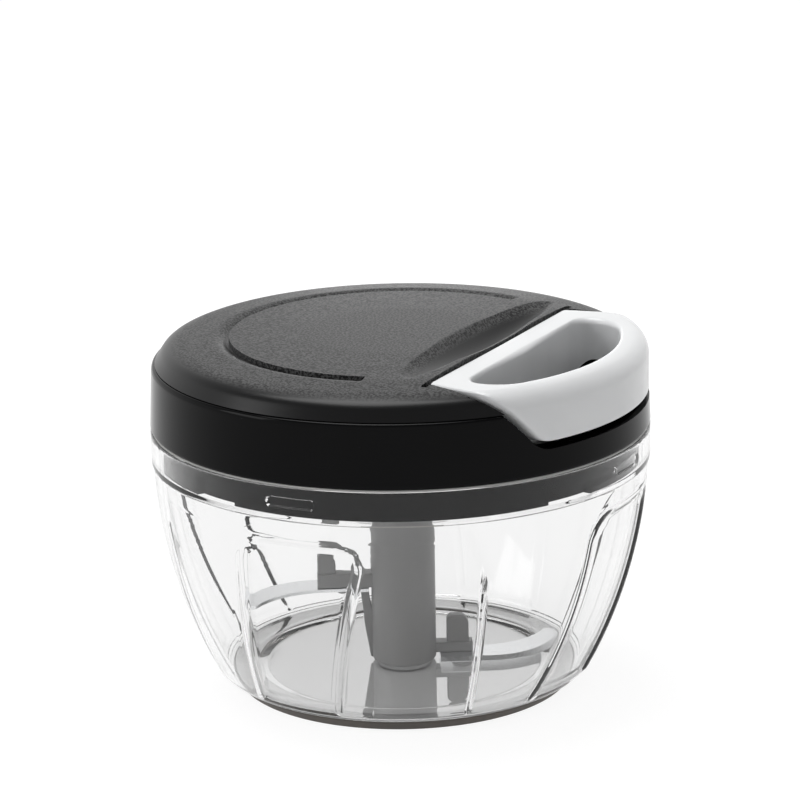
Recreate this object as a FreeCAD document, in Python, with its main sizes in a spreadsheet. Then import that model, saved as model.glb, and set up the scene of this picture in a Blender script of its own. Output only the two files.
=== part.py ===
import FreeCAD, Part
import math
import os

import Sketcher

# Pull-string garlic chopper: a clear bowl, a two-storey blade unit on a pin, and a locking lid
# that holds a cord reel with its recoil spring, a one-way clutch and the pull handle.
# Frame: origin at the bottom centre of the base ring, +Z up, +X the way the handle is pulled.
# Lengths are in millimetres and angles in degrees.

Vector = FreeCAD.Vector
Z_AXIS = Vector(0, 0, 1)

# Driving dimensions, one row of the sheet each.
DRIVING = {
    # Bowl: an outer arc about a point beyond the axis, a level rim band above it
    "wall_arc": 122.0,
    "wall_centre": 60.2,
    "wall_arc_height": 62.0,
    "wall_thick": 2.2,
    "rim_radius": 62.2,
    "rim_inner": 60.0,
    "rim_low": 58.5,
    "bowl_top": 66.3,
    "floor_top": 3.4,
    "floor_ledge": 4.3,
    "foot_radius": 39.5,
    "panel_low": 5.3,
    "panel_top": 52.0,
    "panel_depth": 1.0,
    "rib_depth": 1.2,
    "rib_top": 48.0,
    "lug_low": 60.8,
    "lug_top": 63.0,
    "lug_inner": 58.4,
    # Base ring
    "ring_height": 3.1,
    "ring_low_radius": 41.8,
    "ring_top_radius": 44.9,
    # Blade unit
    "pin_radius": 2.5,
    "pin_top": 40.0,
    "running_gap": 0.05,
    "shaft_radius": 8.1,
    "shaft_low": 3.9,
    "shaft_shoulder": 52.0,
    "shaft_top": 61.4,
    "neck_radius": 5.2,
    "dog_radius": 7.6,
    "arm_half_width": 2.0,
    "blade_thick": 0.8,
    "lower_blade_low": 4.7,
    "upper_blade_low": 22.5,
    "lower_arm_reach": 17.3,
    "upper_arm_reach": 21.7,
    "lower_arm_height": 2.6,
    "upper_arm_height": 3.7,
    "lower_tab_height": 7.2,
    "upper_tab_height": 5.6,
    "peg_place": 14.6,
    "peg_radius": 1.5,
    "blade_turn": 29.2,
    # Lid shell
    "band_radius": 62.2,
    "band_top_radius": 61.5,
    "band_low": 67.0,
    "band_top": 82.75,
    "band_wall": 2.0,
    "skirt_radius": 59.4,
    "skirt_inner": 57.0,
    "skirt_low": 58.4,
    "deck_top": 72.2,
    "deck_thick": 2.0,
    "well_radius": 24.4,
    "well_wall": 2.0,
    "well_floor_top": 64.3,
    "well_floor_low": 62.4,
    "hub_bore": 10.05,
    "plate_low": 60.2,
    "plate_top": 62.2,
    "plate_screw_place": 44.0,
    "cover_screw_place": 50.0,
    "boss_radius": 3.6,
    # Lid cover
    "dome_top": 89.5,
    "dome_edge": 46.7,
    "dome_edge_height": 88.85,
    "shell_thick": 2.4,
    "groove_radius": 42.0,
    "groove_width": 4.4,
    "groove_depth": 1.4,
    "scoop_place": 21.5,
    "scoop_floor": 85.2,
    "scoop_radius": 7.75,
    "scoop_bed": 2.0,
    "scoop_axis": 325.0,
    "post_radius": 4.0,
    "post_low": 64.6,
    "post_shoulder": 81.7,
    # Handle and its tray
    "handle_back": 27.5,
    "handle_low": 74.9,
    "handle_top": 88.5,
    "handle_radius": 61.8,
    "foot_half_width": 28.8,
    "foot_fillet": 4.0,
    "corner_half_width": 38.3,
    "hole_back": 33.9,
    "hole_radius": 55.1,
    "hole_half_width": 33.2,
    "hole_back_corner": 4.5,
    "hole_front_corner": 10.6,
    "tray_gap": 0.8,
    "tray_wall": 1.8,
    "band_gap": 1.75,
    # Cord, reel and spring
    "cord_radius": 0.65,
    "cord_height": 78.0,
    "cord_corner": 23.5,
    "cord_pitch": 1.98,
    "drum_radius": 19.3,
    "flange_radius": 23.0,
    "flange_low": 68.5,
    "flange_thick": 1.1,
    "reel_top": 81.5,
    "chamber_radius": 17.4,
    "chamber_floor": 71.5,
    "ratchet_low": 66.1,
    "ratchet_root": 17.6,
    "ratchet_tip": 15.8,
    "ratchet_outer": 20.5,
    "spring_thick": 0.4,
    "spring_pitch": 1.6,
    "spring_low": 72.3,
    "spring_height": 7.2,
    # Drive hub and clutch pawls
    "web_low": 64.7,
    "web_top": 65.8,
    "web_radius": 16.0,
    "sleeve_radius": 10.0,
    "socket_radius": 7.9,
    "socket_low": 53.0,
    "pivot_place": 9.5,
    "pivot_radius": 1.3,
    "pawl_low": 66.0,
    "pawl_thick": 2.2,
}

SPRING_TURNS = 8
CORD_TURNS = 4
CORD_BEND = 4.8
LUGS = 4
LUG_ANGLE = 11.6
SLOT_ANGLE = 13.6
LID_UNLOCK = 22.0
BOWL_TURN = 1.2
RIB_ANGLE = 1.3
GROOVE_ANGLE = 210.0
SIDE_ANGLE = 38.1
CORNER_SPREAD = 0.2
HOLE_ANGLE = 29.5
COVER_SCREW_ANGLES = (100, 160, 200, 260)
TEETH = 8
TOOTH_ANGLE = 30.0
TOOTH_LEAD = 8.5
PAWL_TURN = 40.0
DOG_HALF_ANGLE = 20.0
DOG_CLEARANCE = 2.5
CLEAR = 200.0

doc = FreeCAD.newDocument("chopper")
nodes = []


class Size:
    """A length that keeps its value now and the sheet formula that gives it."""

    def __init__(self, value, formula=None):
        self.value = float(value)
        self.formula = formula

    def text(self):
        return self.formula or repr(self.value)

    def join(self, other, value, sign):
        other = size_of(other)
        formula = None
        if self.formula or other.formula:
            formula = "(%s %s %s)" % (self.text(), sign, other.text())
        return Size(value(self.value, other.value), formula)

    def __add__(self, other):
        return self.join(other, lambda a, b: a + b, "+")

    def __radd__(self, other):
        return size_of(other) + self

    def __sub__(self, other):
        return self.join(other, lambda a, b: a - b, "-")

    def __rsub__(self, other):
        return size_of(other) - self

    def __mul__(self, other):
        return self.join(other, lambda a, b: a * b, "*")

    def __rmul__(self, other):
        return size_of(other) * self

    def __truediv__(self, other):
        return self.join(other, lambda a, b: a / b, "/")

    def __neg__(self):
        return self * -1

    def root(self):
        return Size(math.sqrt(self.value), "sqrt(%s)" % self.text())


def size_of(thing):
    return thing if isinstance(thing, Size) else Size(thing)


class Dimensions:
    """The sheet's aliases as Size attributes."""

    def __init__(self, sheet, table):
        for row, (alias, number) in enumerate(table.items(), start=1):
            sheet.set("A%d" % row, alias)
            sheet.set("B%d" % row, str(number))
            sheet.setAlias("B%d" % row, alias)
            setattr(self, alias, Size(number, "Sizes." + alias))


d = Dimensions(doc.addObject("Spreadsheet::Sheet", "Sizes"), DRIVING)
doc.recompute()


def bind(thing, name, size):
    """Set a property and tie it to the sheet where its size comes from there."""
    size = size_of(size)
    if "." not in name:
        setattr(thing, name, size.value)
    if size.formula:
        thing.setExpression(name, size.formula)


def polar(radius, angle):
    """The corner at a radius and an azimuth."""
    turn = math.radians(angle)
    return radius * math.cos(turn), radius * math.sin(turn)


# Sketches and features

def new_body(label):
    body = doc.addObject("PartDesign::Body", label)
    body.Label = label
    nodes.append(body)
    return body


def plane_of(body, role):
    return [part for part in body.Origin.OriginFeatures if part.Role == role][0]


def new_sketch(body, name, plane, lift=0, rise=0, turn=0):
    """An empty sketch on an origin plane: lifted off it, raised along it, turned about +Z."""
    sketch = body.newObject("Sketcher::SketchObject", name)
    sketch.AttachmentSupport = [(plane_of(body, plane), "")]
    sketch.MapMode = "FlatFace"
    upright = Vector(0, 1, 0) if plane == "XZ_Plane" else Z_AXIS
    base = Vector(0, size_of(rise).value, size_of(lift).value)
    sketch.AttachmentOffset = FreeCAD.Placement(base, FreeCAD.Rotation(upright, turn))
    bind(sketch, "AttachmentOffset.Base.y", rise)
    bind(sketch, "AttachmentOffset.Base.z", lift)
    return sketch


def pin_point(sketch, index, end, u, v):
    """Hold one end of a line or arc at its two coordinates."""
    for kind, size, axis in (("DistanceX", u, -2), ("DistanceY", v, -1)):
        size = size_of(size)
        if abs(size.value) < 1e-9:
            sketch.addConstraint(Sketcher.Constraint("PointOnObject", index, end, axis))
            continue
        number = sketch.addConstraint(Sketcher.Constraint(kind, index, end, size.value))
        if size.formula:
            sketch.setExpression("Constraints[%d]" % number, size.formula)


def arc_between(start, end, radius):
    """The short arc from start to end: it turns left where the radius is positive."""
    chord = end - start
    height = math.sqrt(max(radius * radius - chord.Length * chord.Length / 4, 0))
    left = Vector(-chord.y, chord.x, 0).normalize()
    centre = (start + end) * 0.5 + left * math.copysign(height, radius)
    first = math.atan2(start.y - centre.y, start.x - centre.x)
    last = math.atan2(end.y - centre.y, end.x - centre.x)
    if radius < 0:
        first, last = last, first
    if last < first:
        last += 2 * math.pi
    return Part.ArcOfCircle(Part.Circle(centre, Z_AXIS, abs(radius)), first, last)


def draw_loop(sketch, corners):
    """A closed outline. A corner with a third value is reached by an arc of that radius."""
    points = [Vector(size_of(c[0]).value, size_of(c[1]).value, 0) for c in corners]
    ends = []
    for i, start in enumerate(points):
        following = corners[(i + 1) % len(corners)]
        end = points[(i + 1) % len(corners)]
        if len(following) == 3:
            radius = size_of(following[2])
            index = sketch.addGeometry(arc_between(start, end, radius.value))
            number = sketch.addConstraint(Sketcher.Constraint("Radius", index, abs(radius.value)))
            if radius.formula:
                formula = radius.formula if radius.value > 0 else (-radius).formula
                sketch.setExpression("Constraints[%d]" % number, formula)
            ends.append((index, 1, 2) if radius.value > 0 else (index, 2, 1))
        else:
            ends.append((sketch.addGeometry(Part.LineSegment(start, end)), 1, 2))
    for i, (index, first, last) in enumerate(ends):
        after = ends[(i + 1) % len(ends)]
        sketch.addConstraint(Sketcher.Constraint("Coincident", index, last, after[0], after[1]))
        pin_point(sketch, index, first, corners[i][0], corners[i][1])


def draw_circle(sketch, u, v, radius):
    centre = Vector(size_of(u).value, size_of(v).value, 0)
    radius = size_of(radius)
    index = sketch.addGeometry(Part.Circle(centre, Z_AXIS, radius.value))
    number = sketch.addConstraint(Sketcher.Constraint("Radius", index, radius.value))
    if radius.formula:
        sketch.setExpression("Constraints[%d]" % number, radius.formula)
    pin_point(sketch, index, 3, u, v)


def turned(body, name, corners, angle=360.0, turn=0, cut=False, axis="V_Axis", lift=0, rise=0):
    """A profile in the upright plane turned about its sketch's upright or level axis."""
    sketch = new_sketch(body, name + "_profile", "XZ_Plane", lift=lift, rise=rise, turn=turn)
    draw_loop(sketch, corners)
    feature = body.newObject("PartDesign::Groove" if cut else "PartDesign::Revolution", name)
    feature.Profile = sketch
    feature.ReferenceAxis = (sketch, [axis])
    feature.Angle = angle
    feature.Midplane = angle < 360
    return feature


def extruded(body, name, sketch, length, cut=False, both=False):
    """A sketch pushed along its normal, or both ways at once."""
    feature = body.newObject("PartDesign::Pocket" if cut else "PartDesign::Pad", name)
    feature.Profile = sketch
    bind(feature, "Length", length)
    feature.Reversed = cut
    feature.SideType = "Symmetric" if both else "One side"
    return feature


def prism(body, name, loops, low, height, cut=False, plane="XY_Plane", both=False):
    """Closed outlines in a level or an upright plane, extruded from low along its normal."""
    sketch = new_sketch(body, name + "_outline", plane, lift=low)
    for corners in loops:
        draw_loop(sketch, corners)
    return extruded(body, name, sketch, height, cut=cut, both=both)


def rod(body, name, places, radius, low, height, cut=False, plane="XY_Plane"):
    """Round posts or holes at places in a plane."""
    sketch = new_sketch(body, name + "_circles", plane, lift=low)
    for u, v in places:
        draw_circle(sketch, u, v, radius)
    return extruded(body, name, sketch, height, cut=cut)


def repeated(body, features, count):
    """Features repeated round the body's Z axis."""
    pattern = body.newObject("PartDesign::PolarPattern", features[0].Name + "_all")
    pattern.Originals = features
    pattern.Axis = (plane_of(body, "Z_Axis"), [""])
    pattern.Angle = 360
    pattern.Occurrences = count
    body.Tip = pattern
    return pattern


def box(low, high):
    """The four corners of an upright rectangle."""
    return [(low[0], low[1]), (high[0], low[1]), (high[0], high[1]), (low[0], high[1])]


def combined(kind, label, parts):
    """Finished bodies made into one node by a boolean."""
    whole = doc.addObject(kind, label)
    if kind == "Part::Cut":
        whole.Base, whole.Tool = parts
    else:
        whole.Shapes = parts
    whole.Label = label
    for part in parts:
        nodes.remove(part)
    nodes.append(whole)
    return whole


def turn_node(body, angle):
    """Turn a finished body about the object's axis."""
    body.Placement = FreeCAD.Placement(Vector(), FreeCAD.Rotation(Z_AXIS, size_of(angle).value))
    bind(body, "Placement.Rotation.Angle", angle)


# Bowl and base

def wall_at(height, inset):
    """The bowl wall's radius at a height, a given way in from its outer face."""
    arc = d.wall_arc - inset
    rise = d.wall_arc_height - height
    return (arc * arc - rise * rise).root() - d.wall_centre


def wall_slice(low, top, outer, inner):
    """The profile of a layer of the wall between two insets and two heights."""
    return [
        (wall_at(low, outer), low),
        (wall_at(top, outer), top, d.wall_arc - outer),
        (wall_at(top, inner), top),
        (wall_at(low, inner), low, inner - d.wall_arc),
    ]


def panel_outline():
    """A pressed-in panel seen from outside: its sides lean, so it narrows downwards."""
    low = (-17.7, 4.7)
    top = (-14.9, 15.7)
    corner = 7.0
    return [
        (low[0], d.panel_low),
        (low[1], d.panel_low),
        (top[1], d.panel_top - corner),
        (top[1] - corner, d.panel_top, corner),
        (top[0] + corner, d.panel_top),
        (top[0], d.panel_top - corner, corner),
    ]


def bowl_wall():
    """The bowl with its ribs and lugs, and a window where each panel goes."""
    body = new_body("bowl_wall")
    corner = 5.0
    fillet = 5.8
    pin_head = 4.0
    boss = 6.5
    turned(body, "wall", [
        (d.pin_radius, 1.6),
        (pin_head, 1.6),
        (pin_head, 0.8),
        (boss, 0.8),
        (boss, 1.4),
        (d.foot_radius, 1.4),
        (d.foot_radius, d.ring_height),
        (d.ring_top_radius + 0.5, d.ring_height),
        (wall_at(corner, 0), corner, 3.2),
        (wall_at(d.rim_low, 0), d.rim_low, d.wall_arc),
        (d.rim_radius, d.rim_low),
        (d.rim_radius, d.bowl_top - 0.4),
        (d.rim_radius - 0.4, d.bowl_top, 0.4),
        (d.rim_inner, d.bowl_top),
        (d.rim_inner, d.rim_low + 0.5),
        (wall_at(d.rim_low - 1, d.wall_thick), d.rim_low - 1),
        (wall_at(fillet, d.wall_thick), fillet, d.wall_thick - d.wall_arc),
        (wall_at(fillet, d.wall_thick) - 3.1, d.floor_ledge, -3.6),
        (37.5, d.floor_ledge),
        (34.5, d.floor_top),
        (5.0, d.floor_top),
        (5.0, d.floor_top + 0.3),
        (d.pin_radius, d.floor_top + 0.3),
    ])
    window = prism(body, "window", [panel_outline()], 40.0, 30.0, cut=True, plane="XZ_Plane")
    repeated(body, [window], LUGS)
    # Four narrow chopping ribs between the panels
    rib = wall_slice(d.panel_low, d.rib_top, d.wall_thick - 0.5, d.wall_thick + d.rib_depth)
    repeated(body, [turned(body, "rib", rib, angle=RIB_ANGLE, turn=45)], LUGS)
    # Four lugs that the lid's slots lock under
    lug = box((d.lug_inner, d.lug_low), (d.rim_inner + 0.5, d.lug_top))
    repeated(body, [turned(body, "lug", lug, angle=LUG_ANGLE)], LUGS)
    return body


def bowl_panels():
    """The panels' own walls, which lie further in by the panels' depth."""
    body = new_body("bowl_panels")
    body.AllowCompound = True
    inset = wall_slice(d.panel_low, d.panel_top, d.panel_depth, d.wall_thick + d.panel_depth)
    sector = 54.0
    wall = turned(body, "inset_wall", inset, angle=sector, turn=-90)
    # What lies beside the panel's outline goes
    beside = box((-40.0, 0.0), (40.0, 70.0))
    near = 25.0
    loops = [beside, panel_outline()]
    trim = prism(body, "panel_trim", loops, near, 45.0, cut=True, plane="XZ_Plane")
    repeated(body, [wall, trim], LUGS)
    return body


def bowl():
    whole = combined("Part::MultiFuse", "bowl", [bowl_wall(), bowl_panels()])
    turn_node(whole, BOWL_TURN)


def base_ring():
    body = new_body("base_ring")
    inner = d.foot_radius
    turned(body, "ring", [
        (inner, 0),
        (d.ring_low_radius, 0),
        (d.ring_top_radius, d.ring_height),
        (inner, d.ring_height),
    ])


def bowl_pin():
    body = new_body("bowl_pin")
    turned(body, "pin", [
        (0, 0.8),
        (4.0, 0.8),
        (4.0, 1.6),
        (d.pin_radius, 1.6),
        (d.pin_radius, d.pin_top - 1),
        (d.pin_radius - 0.8, d.pin_top),
        (0, d.pin_top),
    ])


# Blade unit, drawn with its lower arm along +X and turned afterwards

def blade_shaft():
    body = new_body("blade_shaft")
    bore = d.pin_radius + d.running_gap
    turned(body, "column", [
        (bore, d.shaft_low),
        (d.shaft_radius - 0.6, d.shaft_low),
        (d.shaft_radius, d.shaft_low + 0.6),
        (d.shaft_radius, d.shaft_shoulder - 0.6),
        (d.shaft_radius - 0.6, d.shaft_shoulder),
        (d.neck_radius, d.shaft_shoulder),
        (d.neck_radius, d.shaft_top),
        (0, d.shaft_top),
        (0, d.pin_top + 0.2),
        (bore, d.pin_top + 0.2),
    ])
    dog = box((d.neck_radius - 0.5, d.shaft_shoulder + 2), (d.dog_radius, d.shaft_top))
    repeated(body, [turned(body, "dog", dog, angle=2 * DOG_HALF_ANGLE)], 2)
    start = d.shaft_radius - 1.5
    half = d.arm_half_width
    reach = {"lower": d.lower_arm_reach, "upper": -d.upper_arm_reach}
    low = {"lower": d.lower_blade_low, "upper": d.upper_blade_low}
    rise = {"lower": d.lower_arm_height, "upper": d.upper_arm_height}
    tall = {"lower": d.lower_tab_height, "upper": d.upper_tab_height}
    for name, side in (("lower", 1), ("upper", -1)):
        arm = box((side * start, -half), (reach[name], half))
        prism(body, name + "_arm", [arm], low[name] + d.blade_thick, rise[name])
        # The tab stands on the arm's outer end, round-shouldered and a little narrower
        end = reach[name] - side * (1.0 if side > 0 else 0.1)
        root = end - side * (5.5 if side > 0 else 4.6)
        foot = low[name] + d.blade_thick + rise[name] - 0.2
        head = foot + tall[name]
        tab = [
            (root, foot), (end, foot), (end, head - 1.6), (end - side * 1.6, head, side * 1.6),
            (root + side * 0.8, head), (root, head - 0.8, side * 0.8),
        ]
        prism(body, name + "_tab", [tab], 0, 2.8, plane="XZ_Plane", both=True)
        # A staked peg holds the blade under the arm
        peg = side * d.peg_place
        depth = d.blade_thick + 0.6
        rod(body, name + "_peg", [(peg, 0)], d.peg_radius, low[name] - 0.6, depth + 0.5)
        rod(body, name + "_peg_head", [(peg, 0)], d.peg_radius + 1, low[name] - 0.6, 0.6)
    # The brace below the upper arm runs down to the shaft's foot
    arm_low = d.upper_blade_low + d.blade_thick
    brace = [
        (-11.7, arm_low + 0.5), (-9.3, arm_low + 0.5), (-7.4, 14.5), (-6.5, 14.5),
        (-6.5, d.shaft_low + 0.6), (-8.5, d.shaft_low + 0.6),
    ]
    prism(body, "brace", [brace], 0, 2.0, plane="XZ_Plane", both=True)
    turn_node(body, d.blade_turn)


def blade(label, low, turn):
    """A sickle: straight root under the arm, round leading edge, hollow trailing edge."""
    body = new_body(label)
    leading = -6.9
    trailing = 2.6
    outline = [
        (d.shaft_radius + 0.9, leading),
        (22.0, leading),
        (40.9, 8.97, 19.2),
        (37.0, 13.6, 4.2),
        (20.0, trailing, -19.4),
        (d.shaft_radius + 1.9, trailing),
        (d.shaft_radius + 0.9, trailing - 1, 1.0),
    ]
    prism(body, label + "_plate", [outline], low, d.blade_thick)
    rod(body, label + "_hole", [(d.peg_place, 0)], d.peg_radius + 0.05, low - 1, 4, cut=True)
    # The root is slotted for the brace under the upper arm; both blades are the same part
    slot = box((d.shaft_radius, -1.2), (12.4, 1.2))
    prism(body, label + "_slot", [slot], low - 1, 4, cut=True)
    # The bevel runs along the straight and the round leading edge
    doc.recompute()
    plate = body.Tip
    ground = body.newObject("PartDesign::Chamfer", label + "_bevel")
    ground.Base = (plate, upper_edges(plate, low + d.blade_thick, leading))
    ground.ChamferType = "Two distances"
    ground.Size = 0.6
    ground.Size2 = 1.6
    turn_node(body, turn)


def upper_edges(feature, height, leading):
    """The names of the top edges on the leading side: the straight one and the round one."""
    names = []
    for number, edge in enumerate(feature.Shape.Edges, start=1):
        middle = edge.valueAt((edge.FirstParameter + edge.LastParameter) / 2)
        level = abs(edge.BoundBox.ZMin - height.value) < 1e-6 and edge.BoundBox.ZLength < 1e-6
        if level and edge.Length > 10 and middle.y < leading + 8 and middle.y < middle.x - 20:
            names.append("Edge%d" % number)
    return names


# Lid

def handle_outline(gap):
    """The handle seen along the pull, grown by a gap: level below, rounded, slanted sides."""
    lean = math.radians(SIDE_ANGLE)
    radius = d.foot_fillet + gap
    centre = d.handle_low + d.foot_fillet
    knee = (d.foot_half_width + radius * math.cos(lean), centre - radius * math.sin(lean))
    top = 97.0
    across = knee[0] + (top - knee[1]) * math.tan(lean)
    return [
        (-d.foot_half_width, d.handle_low - gap, radius),
        (d.foot_half_width, d.handle_low - gap),
        (knee[0], knee[1], radius),
        (across, top),
        (-across, top),
        (-knee[0], knee[1]),
    ]


def handle_block(body, gap):
    """The handle's block grown by a gap, its two upper corners trimmed to lines that spread."""
    prism(body, "block", [handle_outline(gap)], d.handle_back - gap, 60.0, plane="YZ_Plane")
    near = d.corner_half_width + gap - 5 * CORNER_SPREAD
    far = d.corner_half_width + gap + 60 * CORNER_SPREAD
    corners = [
        [
            (d.handle_back - 5, side * near),
            (d.handle_back + 60, side * far),
            (d.handle_back + 60, side * CLEAR),
            (d.handle_back - 5, side * CLEAR),
        ]
        for side in (1, -1)
    ]
    prism(body, "corner_trim", corners, 60.0, 60.0, cut=True)


def lid_body():
    body = new_body("lid_body")
    inner = d.band_radius - d.band_wall - 0.4
    turned(body, "shell", [
        (d.skirt_inner, d.skirt_low),
        (d.skirt_radius - 0.4, d.skirt_low),
        (d.skirt_radius, d.skirt_low + 0.4),
        (d.skirt_radius, d.band_low),
        (d.band_radius - 0.3, d.band_low),
        (d.band_radius, d.band_low + 0.3, 0.3),
        (d.band_top_radius, d.band_top - 0.9),
        (d.band_top_radius - 0.9, d.band_top, 0.9),
        (inner, d.band_top),
        (inner, d.deck_top),
        (d.well_radius, d.deck_top),
        (d.well_radius, d.well_floor_top),
        (d.hub_bore, d.well_floor_top),
        (d.hub_bore, d.well_floor_low),
        (d.well_radius + d.well_wall, d.well_floor_low),
        (d.well_radius + d.well_wall, d.deck_top - d.deck_thick),
        (d.skirt_inner, d.deck_top - d.deck_thick),
    ])
    # Bosses under the deck take the screws of the underside plate
    places = [polar(d.plate_screw_place, 45 + 90 * i) for i in range(4)]
    boss_height = d.deck_top - d.plate_top - 1
    rod(body, "plate_boss", places, d.boss_radius, d.plate_top, boss_height)
    rod(body, "plate_pilot", places, 1.2, d.plate_top - 1, 8, cut=True)
    holes = [polar(d.cover_screw_place, a) for a in COVER_SCREW_ANGLES]
    rod(body, "cover_hole", holes, 1.7, d.deck_top - d.deck_thick - 1, 4, cut=True)
    # Each bayonet slot: a run that the lug sits in, and an entry open below
    run_low = d.lug_low - 0.3
    run_top = d.lug_top + 0.4
    entry = BOWL_TURN - LID_UNLOCK
    depth = d.lug_inner - 0.3
    run = box((depth, run_low), (d.skirt_radius + 1, run_top))
    way = box((depth, d.skirt_low - 1), (d.skirt_radius + 1, run_top))
    notch = box((d.skirt_inner - 1, d.skirt_low - 1), (d.skirt_radius + 1, d.skirt_low + 0.8))
    for name, profile, angle, turn in (
        ("slot_run", run, LID_UNLOCK + SLOT_ANGLE, entry + LID_UNLOCK / 2),
        ("slot_entry", way, SLOT_ANGLE, entry),
        ("slot_notch", notch, SLOT_ANGLE, entry),
    ):
        cut = turned(body, name, profile, angle=angle, turn=turn, cut=True)
        repeated(body, [cut], LUGS)
    # The way out for the handle
    way_out = [handle_outline(d.band_gap)]
    prism(body, "handle_opening", way_out, 30.0, CLEAR, cut=True, plane="YZ_Plane")


def dome_profile():
    """The lid's outer line from the axis to the cover's lower edge."""
    return [
        (0, d.dome_top),
        (22.0, d.dome_top - 0.1),
        (d.dome_edge, d.dome_edge_height),
        (d.dome_edge + 9.0, d.dome_edge_height - 1.2, -43.8),
        (d.dome_edge + 12.5, d.dome_edge_height - 3.8, -5.5),
        (d.dome_edge + 13.9, d.dome_edge_height - 5.9),
    ]


def scoop_profile(below):
    """The finger scoop from behind: a round crest, a hollow, and a rise to the recess's wall."""
    place = d.scoop_place
    floor = d.scoop_floor - below - d.scoop_axis
    return [
        (place - 8.3 - below / 2, floor + 4.3),
        (place - 6.2 - below / 2, floor + 3.1, -2.4),
        (place, floor, d.scoop_radius),
        (place + 3.6, floor + 2.7, d.scoop_radius),
        (place + 5.8, floor + 3.4, -3.2),
    ]


def lid_cover():
    body = new_body("cover_shell")
    edge = dome_profile()[-1]
    inner = d.band_radius - d.band_wall - 0.5
    thick = d.shell_thick
    turned(body, "dome", dome_profile() + [
        (inner, edge[1]),
        (inner, d.band_top - 4),
        (inner - 1.8, d.band_top - 4),
        (inner - 1.8, edge[1] + 0.8),
        (d.dome_edge + 8, d.dome_edge_height - 1.0 - thick),
        (d.dome_edge, d.dome_edge_height - thick),
        (0, d.dome_top - thick),
    ])
    # The post that the reel and the hub turn on
    turned(body, "post", [
        (0, d.post_low),
        (d.post_radius, d.post_low),
        (d.post_radius, d.post_shoulder),
        (d.post_radius + 2.5, d.post_shoulder),
        (d.post_radius + 4, d.dome_top - thick + 0.5),
        (0, d.dome_top - thick + 0.5),
    ])
    # Bosses for the screws that come up through the deck
    places = [polar(d.cover_screw_place, a) for a in COVER_SCREW_ANGLES]
    height = d.dome_edge_height - d.deck_top - 2.4
    rod(body, "cover_boss", places, d.boss_radius, d.deck_top + 0.05, height)
    # The tray that the handle lies in, first as a block
    wall = d.tray_gap + d.tray_wall
    back = d.handle_back - wall - 0.2
    prism(body, "tray_block", [handle_outline(wall)], back, 50.0, plane="YZ_Plane")
    # The bed under the finger scoop, swept about a level axis high above the lid
    ceiling = d.dome_edge_height - 0.6 - d.scoop_axis
    bed = scoop_profile(d.scoop_bed)
    sweep = {"angle": 24.0, "axis": "H_Axis", "lift": -4.0, "rise": d.scoop_axis}
    turned(body, "scoop_bed", bed + [(bed[-1][0], ceiling), (bed[0][0], ceiling)], **sweep)
    # Everything outside the lid's outer line goes
    turned(body, "outer_trim", dome_profile() + [
        (inner, edge[1]),
        (inner, d.deck_top - 5),
        (CLEAR, d.deck_top - 5),
        (CLEAR, CLEAR),
        (0, CLEAR),
    ], cut=True)
    scoop = scoop_profile(0)
    above = 235.0 - d.scoop_axis
    turned(body, "scoop", scoop + [(scoop[-1][0], above), (scoop[0][0], above)], cut=True, **sweep)
    # The C-shaped groove round the middle of the lid: steep inside, a slope that flattens outside
    groove_low = d.dome_edge_height - d.groove_depth
    groove_floor = 0.8
    groove_slope = 6.0
    groove_outer = -d.groove_radius - d.groove_width
    turned(body, "groove", [
        (-d.groove_radius, d.dome_top + 2),
        (-d.groove_radius, groove_low),
        (-d.groove_radius - groove_floor, groove_low),
        (groove_outer, d.dome_edge_height, groove_slope),
        (groove_outer, d.dome_top + 2),
    ], angle=GROOVE_ANGLE, cut=True)
    rod(body, "guide_hole", [(0, d.cord_height)], 2.3, back - 1, 4, cut=True, plane="YZ_Plane")
    rod(body, "cover_pilot", places, 1.2, d.deck_top - 1, 10, cut=True)
    rod(body, "hub_pilot", [(0, 0)], 1.2, d.post_low - 1, 10, cut=True)
    # A slot in the post holds the spring's inner end
    slot = box((1.0, -0.6), (d.post_radius + 0.5, 0.2))
    prism(body, "spring_slot", [slot], d.spring_low - 0.3, d.spring_height + 0.6, cut=True)
    # A shallow notch runs a little past both ends of the gap behind the handle
    start = d.handle_back - d.tray_gap
    notch_half = 41.8
    notch = [box((start, -notch_half), (start + 1.6, notch_half))]
    prism(body, "gap_notch", notch, d.dome_edge_height - 2, 20, cut=True)
    recess = new_body("recess")
    handle_block(recess, d.tray_gap)
    combined("Part::Cut", "lid_cover", [body, recess])


def underside_plate():
    body = new_body("underside_plate")
    rim = d.skirt_inner - 0.2
    turned(body, "disc", [
        (d.sleeve_radius + 0.4, d.plate_low),
        (rim - 1, d.plate_low),
        (rim, d.plate_low + 1),
        (rim, d.plate_top),
        (d.sleeve_radius + 0.4, d.plate_top),
    ])
    places = [polar(d.plate_screw_place, 45 + 90 * i) for i in range(4)]
    rod(body, "screw_hole", places, 1.6, d.plate_low - 1, 6, cut=True)
    rod(body, "head_recess", places, 3.1, d.plate_low - 1, 2.0, cut=True)


def lid_seal():
    body = new_body("lid_seal")
    low = d.bowl_top + 0.05
    top = d.band_low - 0.05
    turned(body, "seal", [
        (d.skirt_radius + 0.2, low),
        (d.rim_radius - 0.5, low),
        (d.rim_radius - 0.2, low + 0.3),
        (d.rim_radius - 0.5, top),
        (d.skirt_radius + 0.2, top),
    ])


# Fasteners

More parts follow.
